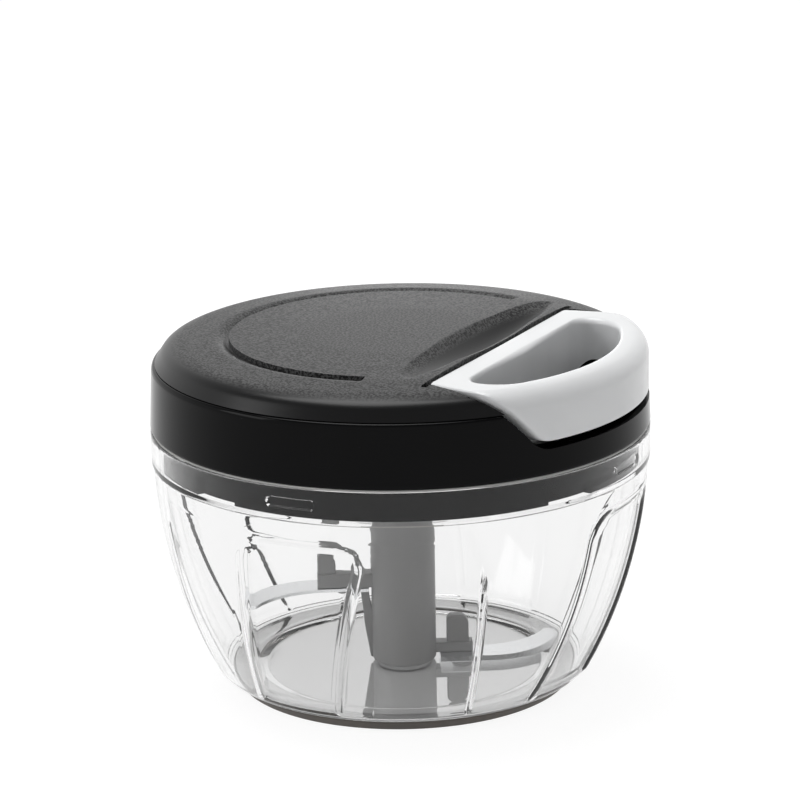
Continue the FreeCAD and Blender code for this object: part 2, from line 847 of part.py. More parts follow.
def screw(name, place, head_low, head_height, length):
    """A slotted screw that points up, its head at the bottom."""
    head_radius = 2.9
    head = doc.addObject("Part::Cylinder", name + "_head")
    head.Radius = head_radius
    head.Height = head_height
    shank = doc.addObject("Part::Cylinder", name + "_shank")
    shank.Radius = 1.15
    shank.Height = length
    drive = doc.addObject("Part::Box", name + "_drive")
    drive.Length, drive.Width, drive.Height = 2 * head_radius + 1, 0.7, 0.6
    drive.Placement.Base = Vector(-head_radius - 0.5, -0.35, -0.1)
    whole = doc.addObject("Part::Fuse", name + "_blank")
    whole.Base, whole.Tool = head, shank
    slotted = doc.addObject("Part::Cut", name)
    slotted.Base, slotted.Tool = whole, drive
    slotted.Placement.Base = Vector(size_of(place[0]).value, size_of(place[1]).value, head_low.value)
    for axis, size in zip("xyz", (place[0], place[1], head_low)):
        bind(slotted, "Placement.Base." + axis, size)
    return slotted


def screw_group(label, places, head_low, head_height, length):
    """Like screws kept as separate solids under one name."""
    screws = [
        screw("%s_%d" % (label, i + 1), place, head_low, head_height, length)
        for i, place in enumerate(places)
    ]
    group = doc.addObject("Part::Compound", label)
    group.Links = screws
    group.Label = label
    nodes.append(group)


def hub_washer():
    body = new_body("hub_washer")
    low = d.post_low - 0.8
    turned(body, "washer", box((1.6, low), (6.4, low + 0.8)))


# Reel, spring and cord

def cord_reel():
    body = new_body("cord_reel")
    bore = d.post_radius + d.running_gap
    boss = d.post_radius + 2.0
    flange_top = d.flange_low + d.flange_thick
    turned(body, "reel", [
        (bore, d.flange_low),
        (d.ratchet_root, d.flange_low),
        (d.ratchet_root, d.ratchet_low),
        (d.ratchet_outer, d.ratchet_low),
        (d.ratchet_outer, d.flange_low),
        (d.flange_radius, d.flange_low),
        (d.flange_radius, flange_top),
        (d.drum_radius, flange_top),
        (d.drum_radius, d.reel_top - d.flange_thick),
        (d.flange_radius, d.reel_top - d.flange_thick),
        (d.flange_radius, d.reel_top),
        (d.chamber_radius, d.reel_top),
        (d.chamber_radius, d.chamber_floor),
        (boss, d.chamber_floor),
        (boss, d.chamber_floor + 0.5),
        (bore, d.chamber_floor + 0.5),
    ])
    # The ratchet's teeth: a steep face for the pawls and a ramp that lets them slip
    steep = PAWL_TURN + 90 + TOOTH_LEAD
    tooth = [
        polar(d.ratchet_tip, steep),
        polar(d.ratchet_root + 1, steep),
        polar(d.ratchet_root + 1, steep + TOOTH_ANGLE),
        polar(d.ratchet_root, steep + TOOTH_ANGLE),
    ]
    one = prism(body, "tooth", [tooth], d.ratchet_low, d.flange_low - d.ratchet_low)
    repeated(body, [one], TEETH)
    # A notch in the drum holds the spring's outer end
    notch = box((d.chamber_radius - 0.5, -0.7), (d.chamber_radius + 1.3, 0.2))
    prism(body, "spring_notch", [notch], d.spring_low - 0.3, 20, cut=True)


def spring_cap():
    body = new_body("spring_cap")
    low = d.reel_top - 1.2
    turned(body, "cap", box((d.post_radius + 0.3, low), (d.chamber_radius - 0.05, low + 0.9)))


def recoil_spring():
    """A flat strip wound from the post to the drum in half turns of growing radius."""
    thick = d.spring_thick.value
    step = d.spring_pitch.value / 2
    first = d.post_radius.value + 0.05 + thick / 2
    edges = {1: [], -1: []}
    for half in range(2 * SPRING_TURNS):
        centre = Vector(step if half % 2 else 0, 0, 0)
        radius = first + half * step
        for side in edges:
            circle = Part.Circle(centre, Z_AXIS, radius + side * thick / 2)
            start = math.pi * (half % 2)
            edges[side].append(Part.ArcOfCircle(circle, start, start + math.pi).toShape())
    last = first + 2 * SPRING_TURNS * step
    ends = [
        Part.makeLine(Vector(x - thick / 2, 0, 0), Vector(x + thick / 2, 0, 0))
        for x in (first, last)
    ]
    outline = Part.Wire(Part.__sortEdges__(edges[1] + edges[-1] + ends))
    strip = Part.Face(outline).extrude(Vector(0, 0, d.spring_height.value))
    tail = Part.makeBox(first + thick / 2 - 1.2, thick, d.spring_height.value, Vector(1.2, -thick, 0))
    hook = Part.makeBox(1.3, thick, d.spring_height.value, Vector(last - thick / 2, -thick, 0))
    feature = doc.addObject("Part::Feature", "recoil_spring")
    feature.Shape = strip.fuse([tail, hook]).removeSplitter()
    feature.Placement = FreeCAD.Placement(Vector(0, 0, d.spring_low.value), FreeCAD.Rotation())
    feature.Label = "recoil_spring"
    nodes.append(feature)


def arc_towards(start, direction, end):
    """The arc from start, along a direction, to end."""
    chord = end - start
    side = chord - direction * chord.dot(direction)
    if side.Length < 1e-7:
        return Part.LineSegment(start, end).toShape()
    side.normalize()
    radius = chord.Length ** 2 / (2 * chord.dot(side))
    centre = start + side * radius
    bisector = (start + end) * 0.5 - centre
    bisector.normalize()
    return Part.Arc(start, centre + bisector * radius, end).toShape()


def biarc(start, direction, end, arrival):
    """Two arcs that join two points and keep both directions."""
    across = end - start
    both = direction + arrival
    a = 2 * (1 - direction.dot(arrival))
    b = across.dot(both)
    reach = (math.sqrt(b * b + a * across.dot(across)) - b) / a
    joint = (start + end + (direction - arrival) * reach) * 0.5
    first = arc_towards(start, direction, joint)
    second = arc_towards(end, arrival * -1, joint)
    return [first, second]


def wound_path(radius, top, pitch, turns, leave):
    """A rising winding, clockwise from above, that leaves the drum level at an azimuth."""
    edges = []
    quarters = 4 * turns
    slope = pitch / (2 * math.pi * radius)

    def station(quarter):
        turn = math.radians(leave + 90 * (quarters - quarter))
        height = top - pitch / 8 - (quarters - 1 - quarter) * pitch / 4
        flat = Vector(math.sin(turn), -math.cos(turn), slope)
        if quarter == quarters:
            height = top
            flat.z = 0
        return Vector(radius * math.cos(turn), radius * math.sin(turn), height), flat.normalize()

    for quarter in range(quarters):
        start, direction = station(quarter)
        end, arrival = station(quarter + 1)
        edges += biarc(start, direction, end, arrival)
    return edges


def least_self_gap(wire, diameter, apart):
    """The least gap of a wound tube to itself, on points along its path."""
    points = wire.discretize(Distance=1.5)
    skip = int(apart / 1.5)
    least = min(
        (points[i] - points[k]).Length
        for i in range(len(points))
        for k in range(i + skip, len(points))
    )
    return least - diameter


def pull_cord():
    """One cord: four turns on the drum, a run to the guide, a bend, and a run to the knot."""
    radius = d.cord_radius.value
    drum = d.drum_radius.value + 0.05 + radius
    height = d.cord_height.value
    corner = Vector(d.cord_corner.value, 0, height)
    leave = math.degrees(math.acos(drum / corner.x))
    off = Vector(*polar(drum, leave), height)
    along = (corner - off).normalize()
    edges = wound_path(drum, off.z, d.cord_pitch.value, CORD_TURNS, leave)
    ahead = Vector(1, 0, 0)
    bend = math.acos(along.dot(ahead))
    setback = CORD_BEND * math.tan(bend / 2)
    bend_start = corner - along * setback
    bend_end = corner + ahead * setback
    knot = Vector(d.handle_back.value + 2.0, 0, height)
    edges.append(Part.LineSegment(off, bend_start).toShape())
    edges.append(arc_towards(bend_start, along, bend_end))
    edges.append(Part.LineSegment(bend_end, knot).toShape())
    path = Part.Wire(edges)
    start = edges[0].Vertexes[0].Point
    direction = edges[0].tangentAt(edges[0].FirstParameter)
    section = Part.Wire(Part.makeCircle(radius, start, direction))
    tube = path.makePipeShell([section], True, False)
    expected = math.pi * radius ** 2 * path.Length
    print("cord: length %.1f, bend radius %.1f, drum radius %.2f" % (path.Length, CORD_BEND, drum))
    print("cord: volume %.1f of an expected %.1f" % (tube.Volume, expected))
    print("cord: least gap to itself %.2f" % least_self_gap(path, 2 * radius, 20.0))
    feature = doc.addObject("Part::Feature", "pull_cord")
    feature.Shape = tube
    feature.Placement = FreeCAD.Placement()
    feature.Label = "pull_cord"
    nodes.append(feature)


def cord_knot():
    """The knot is a ball with a flat side where the cord runs into it."""
    ball = doc.addObject("Part::Sphere", "knot_ball")
    ball.Radius = 1.35
    bind(ball, "Placement.Base.x", d.handle_back + 3.0)
    bind(ball, "Placement.Base.z", d.cord_height)
    flat = doc.addObject("Part::Box", "knot_flat")
    flat.Length, flat.Width, flat.Height = 4, 6, 6
    flat.Placement.Base = Vector(0, -3, 0)
    bind(flat, "Placement.Base.x", d.handle_back - 1.95)
    bind(flat, "Placement.Base.z", d.cord_height - 3)
    knot = doc.addObject("Part::Cut", "cord_knot")
    knot.Base, knot.Tool = ball, flat
    knot.Label = "cord_knot"
    nodes.append(knot)


def cord_guide():
    """An eyelet in the tray's back wall, flared towards the reel."""
    body = new_body("cord_guide")
    wall = d.tray_wall + 0.2
    turned(body, "eyelet", [
        (1.25, 1.4),
        (1.25, 0.8 + wall),
        (2.3, 0.8 + wall),
        (2.3, 0.85),
        (3.1, 0.85),
        (3.1, 0),
        (1.85, 0),
    ])
    back = d.handle_back - d.tray_gap - wall - 0.85
    body.Placement = FreeCAD.Placement(
        Vector(back.value, 0, d.cord_height.value), FreeCAD.Rotation(Vector(0, 1, 0), 90)
    )
    bind(body, "Placement.Base.x", back)
    bind(body, "Placement.Base.z", d.cord_height)


# Drive hub and clutch pawls

def drive_hub():
    body = new_body("drive_hub")
    bore = d.post_radius + d.running_gap
    turned(body, "hub", [
        (bore, d.web_low),
        (d.socket_radius, d.web_low),
        (d.socket_radius, d.socket_low),
        (d.sleeve_radius - 0.5, d.socket_low),
        (d.sleeve_radius, d.socket_low + 0.5),
        (d.sleeve_radius, d.web_low),
        (d.web_radius, d.web_low),
        (d.web_radius, d.web_top),
        (d.post_radius + 2.2, d.web_top),
        (d.post_radius + 2.2, d.flange_low - 0.3),
        (bore, d.flange_low - 0.3),
    ])
    # Two dogs inside the socket push the shaft's dogs, and can swing free the other way
    middle = d.blade_turn.value + 2 * DOG_HALF_ANGLE + DOG_CLEARANCE
    dog = box((d.neck_radius + 0.3, d.socket_low + 0.5), (d.socket_radius + 0.5, d.shaft_top - 0.4))
    one = turned(body, "socket_dog", dog, angle=2 * DOG_HALF_ANGLE, turn=middle)
    repeated(body, [one], 2)
    pins = [polar(d.pivot_place, 90), polar(d.pivot_place, 270)]
    rod(body, "pivot_pin", pins, d.pivot_radius, d.web_top - 0.2, d.pawl_thick + 0.5)


def clutch_pawl(label, angle):
    """An eye on the hub's pin and an arm whose end meets a tooth's steep face."""
    body = new_body(label)
    reach = [polar(r, PAWL_TURN) for r in (17.2, 14.6)]
    offset = d.pivot_place.value
    outer = (reach[0][0] - offset, reach[0][1])
    inner = (reach[1][0] - offset, reach[1][1])
    rod(body, label + "_eye", [(0, 0)], 2.6, d.pawl_low, d.pawl_thick)
    arm = [(2.6, 0.1), outer, inner, (-2.1, 1.5)]
    prism(body, label + "_arm", [arm], d.pawl_low, d.pawl_thick)
    hole = d.pivot_radius + d.running_gap
    rod(body, label + "_hole", [(0, 0)], hole, d.pawl_low - 1, d.pawl_thick + 2, cut=True)
    spot = polar(d.pivot_place, angle)
    body.Placement = FreeCAD.Placement(
        Vector(spot[0].value, spot[1].value, 0), FreeCAD.Rotation(Z_AXIS, angle)
    )
    bind(body, "Placement.Base.x", spot[0])
    bind(body, "Placement.Base.y", spot[1])


# Handle

def pull_handle():
    body = new_body("pull_handle")
    handle_block(body, 0)
    turned(body, "outer_trim", [
        (0, d.handle_top),
        (d.handle_radius - 8.0, d.handle_top - 0.1),
        (d.handle_radius - 4.0, d.handle_top - 0.6, -14.0),
        (d.handle_radius, d.handle_top - 4.6, -4.2),
        (d.handle_radius, d.handle_low - 5),
        (CLEAR, d.handle_low - 5),
        (CLEAR, CLEAR),
        (0, CLEAR),
    ], cut=True)
    # The finger hole: straight at the back, round at the front
    half = d.hole_half_width
    small = d.hole_back_corner
    front, side = polar(d.hole_radius, HOLE_ANGLE)
    hole = [
        (d.hole_back, half - small, small),
        (d.hole_back, small - half),
        (d.hole_back + small, -half, small),
        (front, -side, d.hole_front_corner),
        (front, side, d.hole_radius),
        (d.hole_back + small, half, d.hole_front_corner),
    ]
    prism(body, "finger_hole", [hole], 60.0, 60.0, cut=True)
    cord = d.cord_radius + 0.2
    start = d.handle_back - 1
    rod(body, "cord_hole", [(0, d.cord_height)], cord, start, 4, cut=True, plane="YZ_Plane")
    # The knot goes in from below, so the wall of the finger hole stays whole
    pocket = box((d.handle_back + 1.7, -1.7), (d.handle_back + 4.6, 1.7))
    depth = d.cord_height - d.handle_low + 2.7
    prism(body, "knot_pocket", [pocket], d.handle_low - 1, depth, cut=True)


def check_and_write():
    """Stop on any failed object, empty cut or bad solid, then write every node."""
    doc.recompute()
    for thing in doc.Objects:
        if {"Invalid", "Error"} & set(thing.State):
            raise RuntimeError("failed: %s %s" % (thing.Name, thing.State))
        if thing.TypeId in ("PartDesign::Pocket", "PartDesign::Groove"):
            before = thing.BaseFeature.Shape.Volume
            if before - thing.Shape.Volume < 1e-3:
                raise RuntimeError("cuts nothing: " + thing.Name)
    os.makedirs("parts", exist_ok=True)
    for node in nodes:
        shape = node.Shape
        if shape.isNull() or not shape.isValid() or not shape.Solids:
            raise RuntimeError("bad shape: " + node.Label)
        shape.exportStep(os.path.join("parts", node.Label + ".step"))
        print("%-18s %d solid(s) %9.1f mm3" % (node.Label, len(shape.Solids), shape.Volume))


bowl()
base_ring()
bowl_pin()
blade_shaft()
blade("lower_blade", d.lower_blade_low, d.blade_turn)
blade("upper_blade", d.upper_blade_low, d.blade_turn + 180)
lid_body()
lid_cover()
underside_plate()
lid_seal()
screw_group(
    "plate_screws",
    [polar(d.plate_screw_place, 45 + 90 * i) for i in range(4)],
    d.plate_low,
    1.0,
    8.5,
)
screw_group(
    "cover_screws",
    [polar(d.cover_screw_place, a) for a in COVER_SCREW_ANGLES],
    d.deck_top - d.deck_thick - 1.8,
    1.8,
    10.5,
)
screw_group("hub_screw", [(0, 0)], d.post_low - 2.6, 1.8, 9.5)
hub_washer()
cord_reel()
spring_cap()
recoil_spring()
pull_cord()
cord_knot()
cord_guide()
drive_hub()
clutch_pawl("clutch_pawl_left", 90)
clutch_pawl("clutch_pawl_right", 270)
pull_handle()
check_and_write()
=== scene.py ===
import bmesh
import bpy
import math
import numpy as np
from mathutils import Matrix, Vector


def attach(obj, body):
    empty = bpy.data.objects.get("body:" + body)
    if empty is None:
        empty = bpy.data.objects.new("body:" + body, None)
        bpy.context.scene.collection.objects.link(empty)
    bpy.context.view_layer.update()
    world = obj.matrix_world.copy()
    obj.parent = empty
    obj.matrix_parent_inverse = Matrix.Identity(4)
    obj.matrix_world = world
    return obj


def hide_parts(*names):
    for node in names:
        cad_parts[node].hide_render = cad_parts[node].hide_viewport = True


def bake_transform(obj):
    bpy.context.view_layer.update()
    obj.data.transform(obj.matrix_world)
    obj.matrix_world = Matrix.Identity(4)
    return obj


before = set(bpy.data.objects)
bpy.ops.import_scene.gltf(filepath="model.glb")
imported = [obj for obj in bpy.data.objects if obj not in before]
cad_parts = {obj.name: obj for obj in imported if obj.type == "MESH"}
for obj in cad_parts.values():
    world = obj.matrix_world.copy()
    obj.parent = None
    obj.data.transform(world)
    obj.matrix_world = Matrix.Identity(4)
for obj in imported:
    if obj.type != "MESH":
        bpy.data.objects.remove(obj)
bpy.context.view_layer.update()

# Pull-string garlic chopper. Shapes are worked out in millimetres in the part's frame:
# origin under the base ring, +Z up, +X the way the handle is pulled.
MM = 0.001

# Bowl
WALL_ARC, WALL_CENTRE, WALL_ARC_Z = 122.0, 60.2, 62.0
WALL = 2.2
BOWL_TURN = 1.2
PANEL_DEPTH, PANEL_LOW, PANEL_TOP, PANEL_CORNER, PANEL_SOFT = 1.0, 5.3, 52.0, 7.0, 1.3
PANEL_LEFT, PANEL_RIGHT, LEFT_LEAN, RIGHT_LEAN = -17.7, 4.7, 2.8, 11.0
RIB_DEPTH, RIB_FLAT, RIB_EDGE, RIB_TOP, RIB_TAPER = 1.2, 0.25, 0.95, 48.0, 14.0
RIM, RIM_INNER, RIM_STEP, RIM_TOP = 62.2, 60.0, 57.8, 66.3
LUG_HALF, LUG_LOW, LUG_TOP, LUG_DEPTH, LUG_CORNER, LUG_SOFT = 5.8, 60.8, 63.0, 1.6, 0.7, 0.16
FLOOR, LEDGE, RING_TOP, RING_INNER = 3.4, 4.3, 3.1, 39.5
# Blade unit
BLADE_TURN = 29.2
LOWER_BLADE, UPPER_BLADE, BLADE_THICK, PEG_PLACE = 4.7, 22.5, 0.8, 14.6
# Lid
SKIRT, SKIRT_LOW = 59.4, 58.4
SLOT_LOW, SLOT_TOP, SLOT_DEPTH = 60.5, 63.4, 1.3
UNLOCK_TURN, ENTRY_HALF, RUN_HALF = 22.0, 6.8, 17.8
DOME_TOP, DOME_EDGE, DOME_EDGE_Z = 89.5, 46.7, 88.85
COVER_EDGE, COVER_EDGE_Z, COVER_SIDE_Z = 60.6, 82.95, 84.0
SMOOTH_TOP, SPARK_LOW = 87.0, 88.0
GROOVE, GROOVE_FLOOR, GROOVE_WIDTH, GROOVE_DEPTH, GROOVE_BEND = 42.0, 0.8, 4.4, 1.4, 6.0
SCOOP_PLACE, SCOOP_FLOOR, SCOOP_MIDDLE, SCOOP_AXIS = 21.5, 85.2, 4.0, 325.0
TRAY_GAP, TRAY_WALL, TRAY_END = 0.8, 1.8, 59.7
NOTCH_HALF, NOTCH_FLOOR = 41.0, 86.85
BAND_GAP, BAND_TOP, BAND_INNER = 1.75, 82.75, 59.75
# Handle
HANDLE_BACK, HANDLE_LOW, HANDLE_TOP = 27.5, 74.9, 88.45
HANDLE_RADIUS, HANDLE_MIDDLE = 61.8, 43.0
FRONT_BEND, FRONT_BEND_Z = 4.85, 83.6
HOLE_FRONT, HOLE_BACK, HOLE_INSET = 55.1, 33.9, 0.8
FOOT_HALF, FOOT_FILLET = 28.8, 4.0
SIDE_LEAN = math.radians(38.1)
CORNER_HALF, CORNER_SPREAD = 38.3, 0.2
RECESS_BACK = HANDLE_BACK - TRAY_GAP
# Cord
CORD_RADIUS, CORD_PLACE, CORD_Z, CORD_CORNER, CORD_BEND = 0.65, 20.0, 78.0, 23.5, 4.8
CORD_TURNS, CORD_PITCH, CORD_END = 4, 1.98, 29.5


# Camera

def place_camera():
    """A long lens 0.9 m from the object's middle, 27.2 degrees round and 17.35 degrees up,
    tipped up so that the object sits low, and rolled a little."""
    camera = bpy.data.objects.new("camera", bpy.data.cameras.new("camera"))
    bpy.context.collection.objects.link(camera)
    around, steep, tip, roll = [math.radians(a) for a in (27.2, 90 - 17.35, 1.619, -1.019)]
    camera.matrix_world = (
        Matrix.Translation((0, 0, 0.045))
        @ Matrix.Rotation(around, 4, "Z") @ Matrix.Rotation(steep, 4, "X")
        @ Matrix.Translation((0, 0, 0.9))
        @ Matrix.Rotation(tip, 4, "X") @ Matrix.Rotation(roll, 4, "Z")
    )
    camera.data.sensor_width, camera.data.lens = 36.0, 161.4168
    camera.data.clip_start = 0.01
    bpy.context.scene.camera = camera


place_camera()


# Meshes from arrays

def grid(points, around=False, across=False):
    """Faces of a grid of points; around or across joins its last line to its first."""
    rows, columns = points.shape[:2]
    i = np.arange(rows if around else rows - 1)[:, None]
    j = np.arange(columns if across else columns - 1)[None, :]
    k, l = (i + 1) % rows, (j + 1) % columns
    corners = (i * columns + j, k * columns + j, k * columns + l, i * columns + l)
    faces = np.stack([np.broadcast_to(c, (i.size, j.size)) for c in corners], -1)
    return points.reshape(-1, 3), faces.reshape(-1, 4)


def trimmed(points, faces, field):
    """The part of a surface where field is above 0. Vertices beside the line field = 0 first
    slide along their own edges onto it, found by halving, so the cut edge is a clean line."""
    faces = np.concatenate([faces[:, :3], faces[:, [0, 2, 3]]])
    value = field(points)
    edges = np.concatenate([faces[:, [0, 1]], faces[:, [1, 2]], faces[:, [2, 0]]])
    edges = np.unique(np.sort(edges, 1), axis=0)
    edges = edges[value[edges[:, 0]] * value[edges[:, 1]] < 0]
    edges = np.where((value[edges[:, 0]] > 0)[:, None], edges, edges[:, ::-1])
    kept, lost = points[edges[:, 0]], points[edges[:, 1]]
    low, high = np.zeros(len(edges)), np.ones(len(edges))
    for _ in range(18):
        middle = (low + high) / 2
        inside = field(kept + (lost - kept) * middle[:, None]) > 0
        low, high = np.where(inside, middle, low), np.where(inside, high, middle)
    onto = kept + (lost - kept) * low[:, None]
    nearer = np.where(low < 0.5, edges[:, 0], edges[:, 1])
    way = np.minimum(low, 1 - low)
    order = np.argsort(-way)
    moved = points.copy()
    moved[nearer[order]] = onto[order]
    value[nearer] = 0
    middle = moved[faces].mean(1)
    sign = np.sign(value)[faces]
    keep = np.where(sign.any(1), sign.sum(1) > 0, field(middle) > 0)
    return moved, faces[keep]


def piece(name, patches, body, nodes, material, sharp=35.0, bevel=0.0):
    """One mesh object, in metres, from patches of points in millimetres and their faces."""
    mesh = bpy.data.meshes.new(name)
    points, faces, start = [], [], 0
    for patch_points, patch_faces in patches:
        points.append(patch_points)
        faces += (np.asarray(patch_faces) + start).tolist() if len(patch_faces) else []
        start += len(patch_points)
    mesh.from_pydata((np.concatenate(points) * MM).tolist(), [], faces)
    tidy = bmesh.new()
    tidy.from_mesh(mesh)
    bmesh.ops.remove_doubles(tidy, verts=tidy.verts, dist=2e-6)
    bmesh.ops.dissolve_degenerate(tidy, edges=tidy.edges, dist=1e-7)
    loose = [v for v in tidy.verts if not v.link_faces]
    bmesh.ops.delete(tidy, geom=loose, context="VERTS")
    tidy.to_mesh(mesh)
    tidy.free()
    mesh.polygons.foreach_set("use_smooth", np.ones(len(mesh.polygons), bool))
    mesh.set_sharp_from_angle(angle=math.radians(sharp))
    thing = bpy.data.objects.new(name, mesh)
    bpy.context.collection.objects.link(thing)
    mesh.materials.append(material)
    if bevel:
        edge = thing.modifiers.new("edge", "BEVEL")
        edge.width, edge.segments, edge.limit_method = bevel * MM, 2, "ANGLE"
        edge.angle_limit = math.radians(30)
    if body:
        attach(thing, body)
    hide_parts(*nodes)
    return thing


def rounded(corners, step=1.0, closed=False):
    """A line through corners (u, v, radius): straight runs divided at most every step, and
    an arc of the corner's radius, centred on the corner's bisector, in place of each corner."""
    points = np.array([c[:2] for c in corners], float)
    radii = [c[2] if len(c) > 2 else 0.0 for c in corners]
    line = []
    for i, corner in enumerate(points):
        before, after = points[i - 1], points[(i + 1) % len(points)]
        ends = not closed and i in (0, len(points) - 1)
        if ends or not radii[i]:
            line.append(corner[None])
            continue
        come, go = corner - before, after - corner
        room = min(np.hypot(*come), np.hypot(*go))
        come, go = come / np.hypot(*come), go / np.hypot(*go)
        turn = math.atan2(come[0] * go[1] - come[1] * go[0], come @ go)
        reach = min(radii[i] * abs(math.tan(turn / 2)), 0.499 * room)
        radius = reach / abs(math.tan(turn / 2))
        start = corner - come * reach
        centre = start + math.copysign(radius, turn) * np.array([-come[1], come[0]])
        count = max(3, int(abs(turn) * radius / step * 2), int(abs(turn) / 0.35) + 1)
        angle = np.linspace(0, turn, count)[:, None]
        arm = start - centre
        line.append(centre + np.hstack([
            arm[0] * np.cos(angle) - arm[1] * np.sin(angle),
            arm[0] * np.sin(angle) + arm[1] * np.cos(angle),
        ]))
    line = np.concatenate(line)
    if closed:
        line = np.concatenate([line, line[:1]])
    length = np.hypot(*np.diff(line, axis=0).T)
    counts = np.maximum(1, np.ceil(length / step).astype(int))
    share = np.concatenate([np.arange(n) / n for n in counts])
    index = np.repeat(np.arange(len(counts)), counts)
    dense = line[index] + (line[index + 1] - line[index]) * share[:, None]
    return dense if closed else np.concatenate([dense, line[-1:]])


def bow(start, end, radius, count=16):
    """Points of the short arc from start to end, which turns left for a positive radius."""
    start, end = np.array(start, float), np.array(end, float)
    chord = end - start
    length = np.hypot(*chord)
    left = np.array([-chord[1], chord[0]]) / length
    height = math.copysign(math.sqrt(radius ** 2 - length ** 2 / 4), radius)
    centre = (start + end) / 2 + left * height
    first = math.atan2(*(start - centre)[::-1])
    sweep = math.copysign(2 * math.asin(length / 2 / abs(radius)), radius)
    angle = first + np.linspace(0, sweep, count)
    return centre + abs(radius) * np.column_stack([np.cos(angle), np.sin(angle)])


def spread(x, y, z):
    """Points from three arrays of coordinates, or single ones, brought to one shape."""
    return np.stack(np.broadcast_arrays(x, y, z), -1)


def polar(radius, angles, z):
    """Points at radii, at angles in degrees and at heights: (r cos a, r sin a, z)."""
    angles = np.radians(angles)
    return spread(radius * np.cos(angles), radius * np.sin(angles), z)


def turned(profile, angles):
    """A profile of (radius, height) carried round Z."""
    return polar(profile[:, 0], angles[:, None], profile[:, 1])


def ring_angles(count, *breaks):
    """Even angles round the circle with extra ones where a step in the surface needs them."""
    even = np.arange(count) * 360.0 / count
    extra = np.concatenate([np.ravel(b) for b in breaks]) % 360 if breaks else np.array([])
    every = np.sort(np.concatenate([even, extra]))
    return every[np.concatenate([[True], np.diff(every) > 0.02])]


def slope(value, low, high):
    """0 below low, 1 above high, and a smooth S between: t t (3 - 2 t)."""
    t = np.clip((value - low) / (high - low), 0, 1)
    return t * t * (3 - 2 * t)


def off_centre(angles, places):
    """The least angle from each direction to any of the places, in degrees."""
    apart = (angles[..., None] - np.asarray(places) + 180) % 360 - 180
    return np.abs(apart).min(-1)


def spun(points, angle):
    """Points turned about Z: (x cos a - y sin a, x sin a + y cos a, z)."""
    cosine, sine = math.cos(math.radians(angle)), math.sin(math.radians(angle))
    x, y, z = np.moveaxis(points, -1, 0)
    return spread(x * cosine - y * sine, x * sine + y * cosine, z)


# Materials

def linear(code):
    """An sRGB hex colour as the linear colour that a shader reads."""
    srgb = np.array([int(code[i:i + 2], 16) for i in (1, 3, 5)]) / 255
    value = np.where(srgb <= 0.04045, srgb / 12.92, ((srgb + 0.055) / 1.055) ** 2.4)
    return (*value.tolist(), 1.0)


def add(tree, kind, links=None, stops=(), **settings):
    """A node with its settings; links gives a socket a value or another node's output, and
    stops gives a colour ramp's places their hex colours."""
    node = tree.nodes.new(kind)
    for name, value in settings.items():
        setattr(node, name, value)
    for index, (place, colour) in enumerate(stops):
        element = node.color_ramp.elements[index]
        element.position, element.color = place, linear(colour)
    for name, value in (links or {}).items():
        socket = node.inputs[name]
        if isinstance(value, bpy.types.NodeSocket):
            tree.links.new(value, socket)
        else:
            socket.default_value = value
    return node


def shader(name, **values):
    """A material of one surface shader; values go to the shader's own sockets."""
    material = bpy.data.materials.new(name)
    material.use_nodes = True
    tree = material.node_tree
    surface = tree.nodes["Principled BSDF"]
    for socket, value in values.items():
        surface.inputs[socket.replace("_", " ")].default_value = value
    return material, tree, surface


def grain(tree, surface, size, depth):
    """A fine uneven surface: noise whose spots are size mm across, raised by depth mm."""
    place = add(tree, "ShaderNodeTexCoord").outputs["Object"]
    spots = add(tree, "ShaderNodeTexNoise", {"Vector": place, "Scale": 0.5 / (size * MM)})
    bump = add(tree, "ShaderNodeBump", {
        "Height": spots.outputs["Fac"], "Distance": depth * MM, "Strength": 1.0,
    })
    tree.links.new(bump.outputs["Normal"], surface.inputs["Normal"])
    return place


def clear_san():
    """Clear SAN, injection moulded and polished: water-clear with bright edges. Shadow and
    diffuse light pass straight through it, as they do through a thin clear wall. The floor's
    two flat rings, which lie over an air gap, mirror what stands on them."""
    material, tree, surface = shader(
        "clear_SAN_moulded", Base_Color=linear("#F5F5F5"), Transmission_Weight=1.0, IOR=1.45,
        Roughness=0.01, Specular_Tint=(0.45, 0.45, 0.45, 1.0),
    )
    place = grain(tree, surface, 9.0, 0.01)
    height = add(tree, "ShaderNodeSeparateXYZ", {"Vector": place}).outputs["Z"]
    above = add(tree, "ShaderNodeMath", {
        0: height, 1: (FLOOR + LEDGE) / 2 * MM,
    }, operation="SUBTRACT")
    away = add(tree, "ShaderNodeMath", {0: above.outputs[0]}, operation="ABSOLUTE")
    flat = add(tree, "ShaderNodeMath", {
        0: away.outputs[0], 1: (LEDGE - FLOOR) / 2 * MM, 2: 0.12 * MM,
    }, operation="COMPARE")
    mirror = add(tree, "ShaderNodeMath", {0: flat.outputs[0], 1: 0.8}, operation="MULTIPLY")
    tree.links.new(mirror.outputs[0], surface.inputs["Metallic"])
    paths = add(tree, "ShaderNodeLightPath").outputs
    either = add(tree, "ShaderNodeMath", {
        0: paths["Is Shadow Ray"], 1: paths["Is Diffuse Ray"],
    }, operation="MAXIMUM")
    through = add(tree, "ShaderNodeBsdfTransparent", {"Color": linear("#F1F1F1")})
    mix = add(tree, "ShaderNodeMixShader", {
        "Fac": either.outputs[0], 1: surface.outputs[0], 2: through.outputs[0],
    })
    tree.links.new(mix.outputs[0], tree.nodes["Material Output"].inputs["Surface"])
    return material


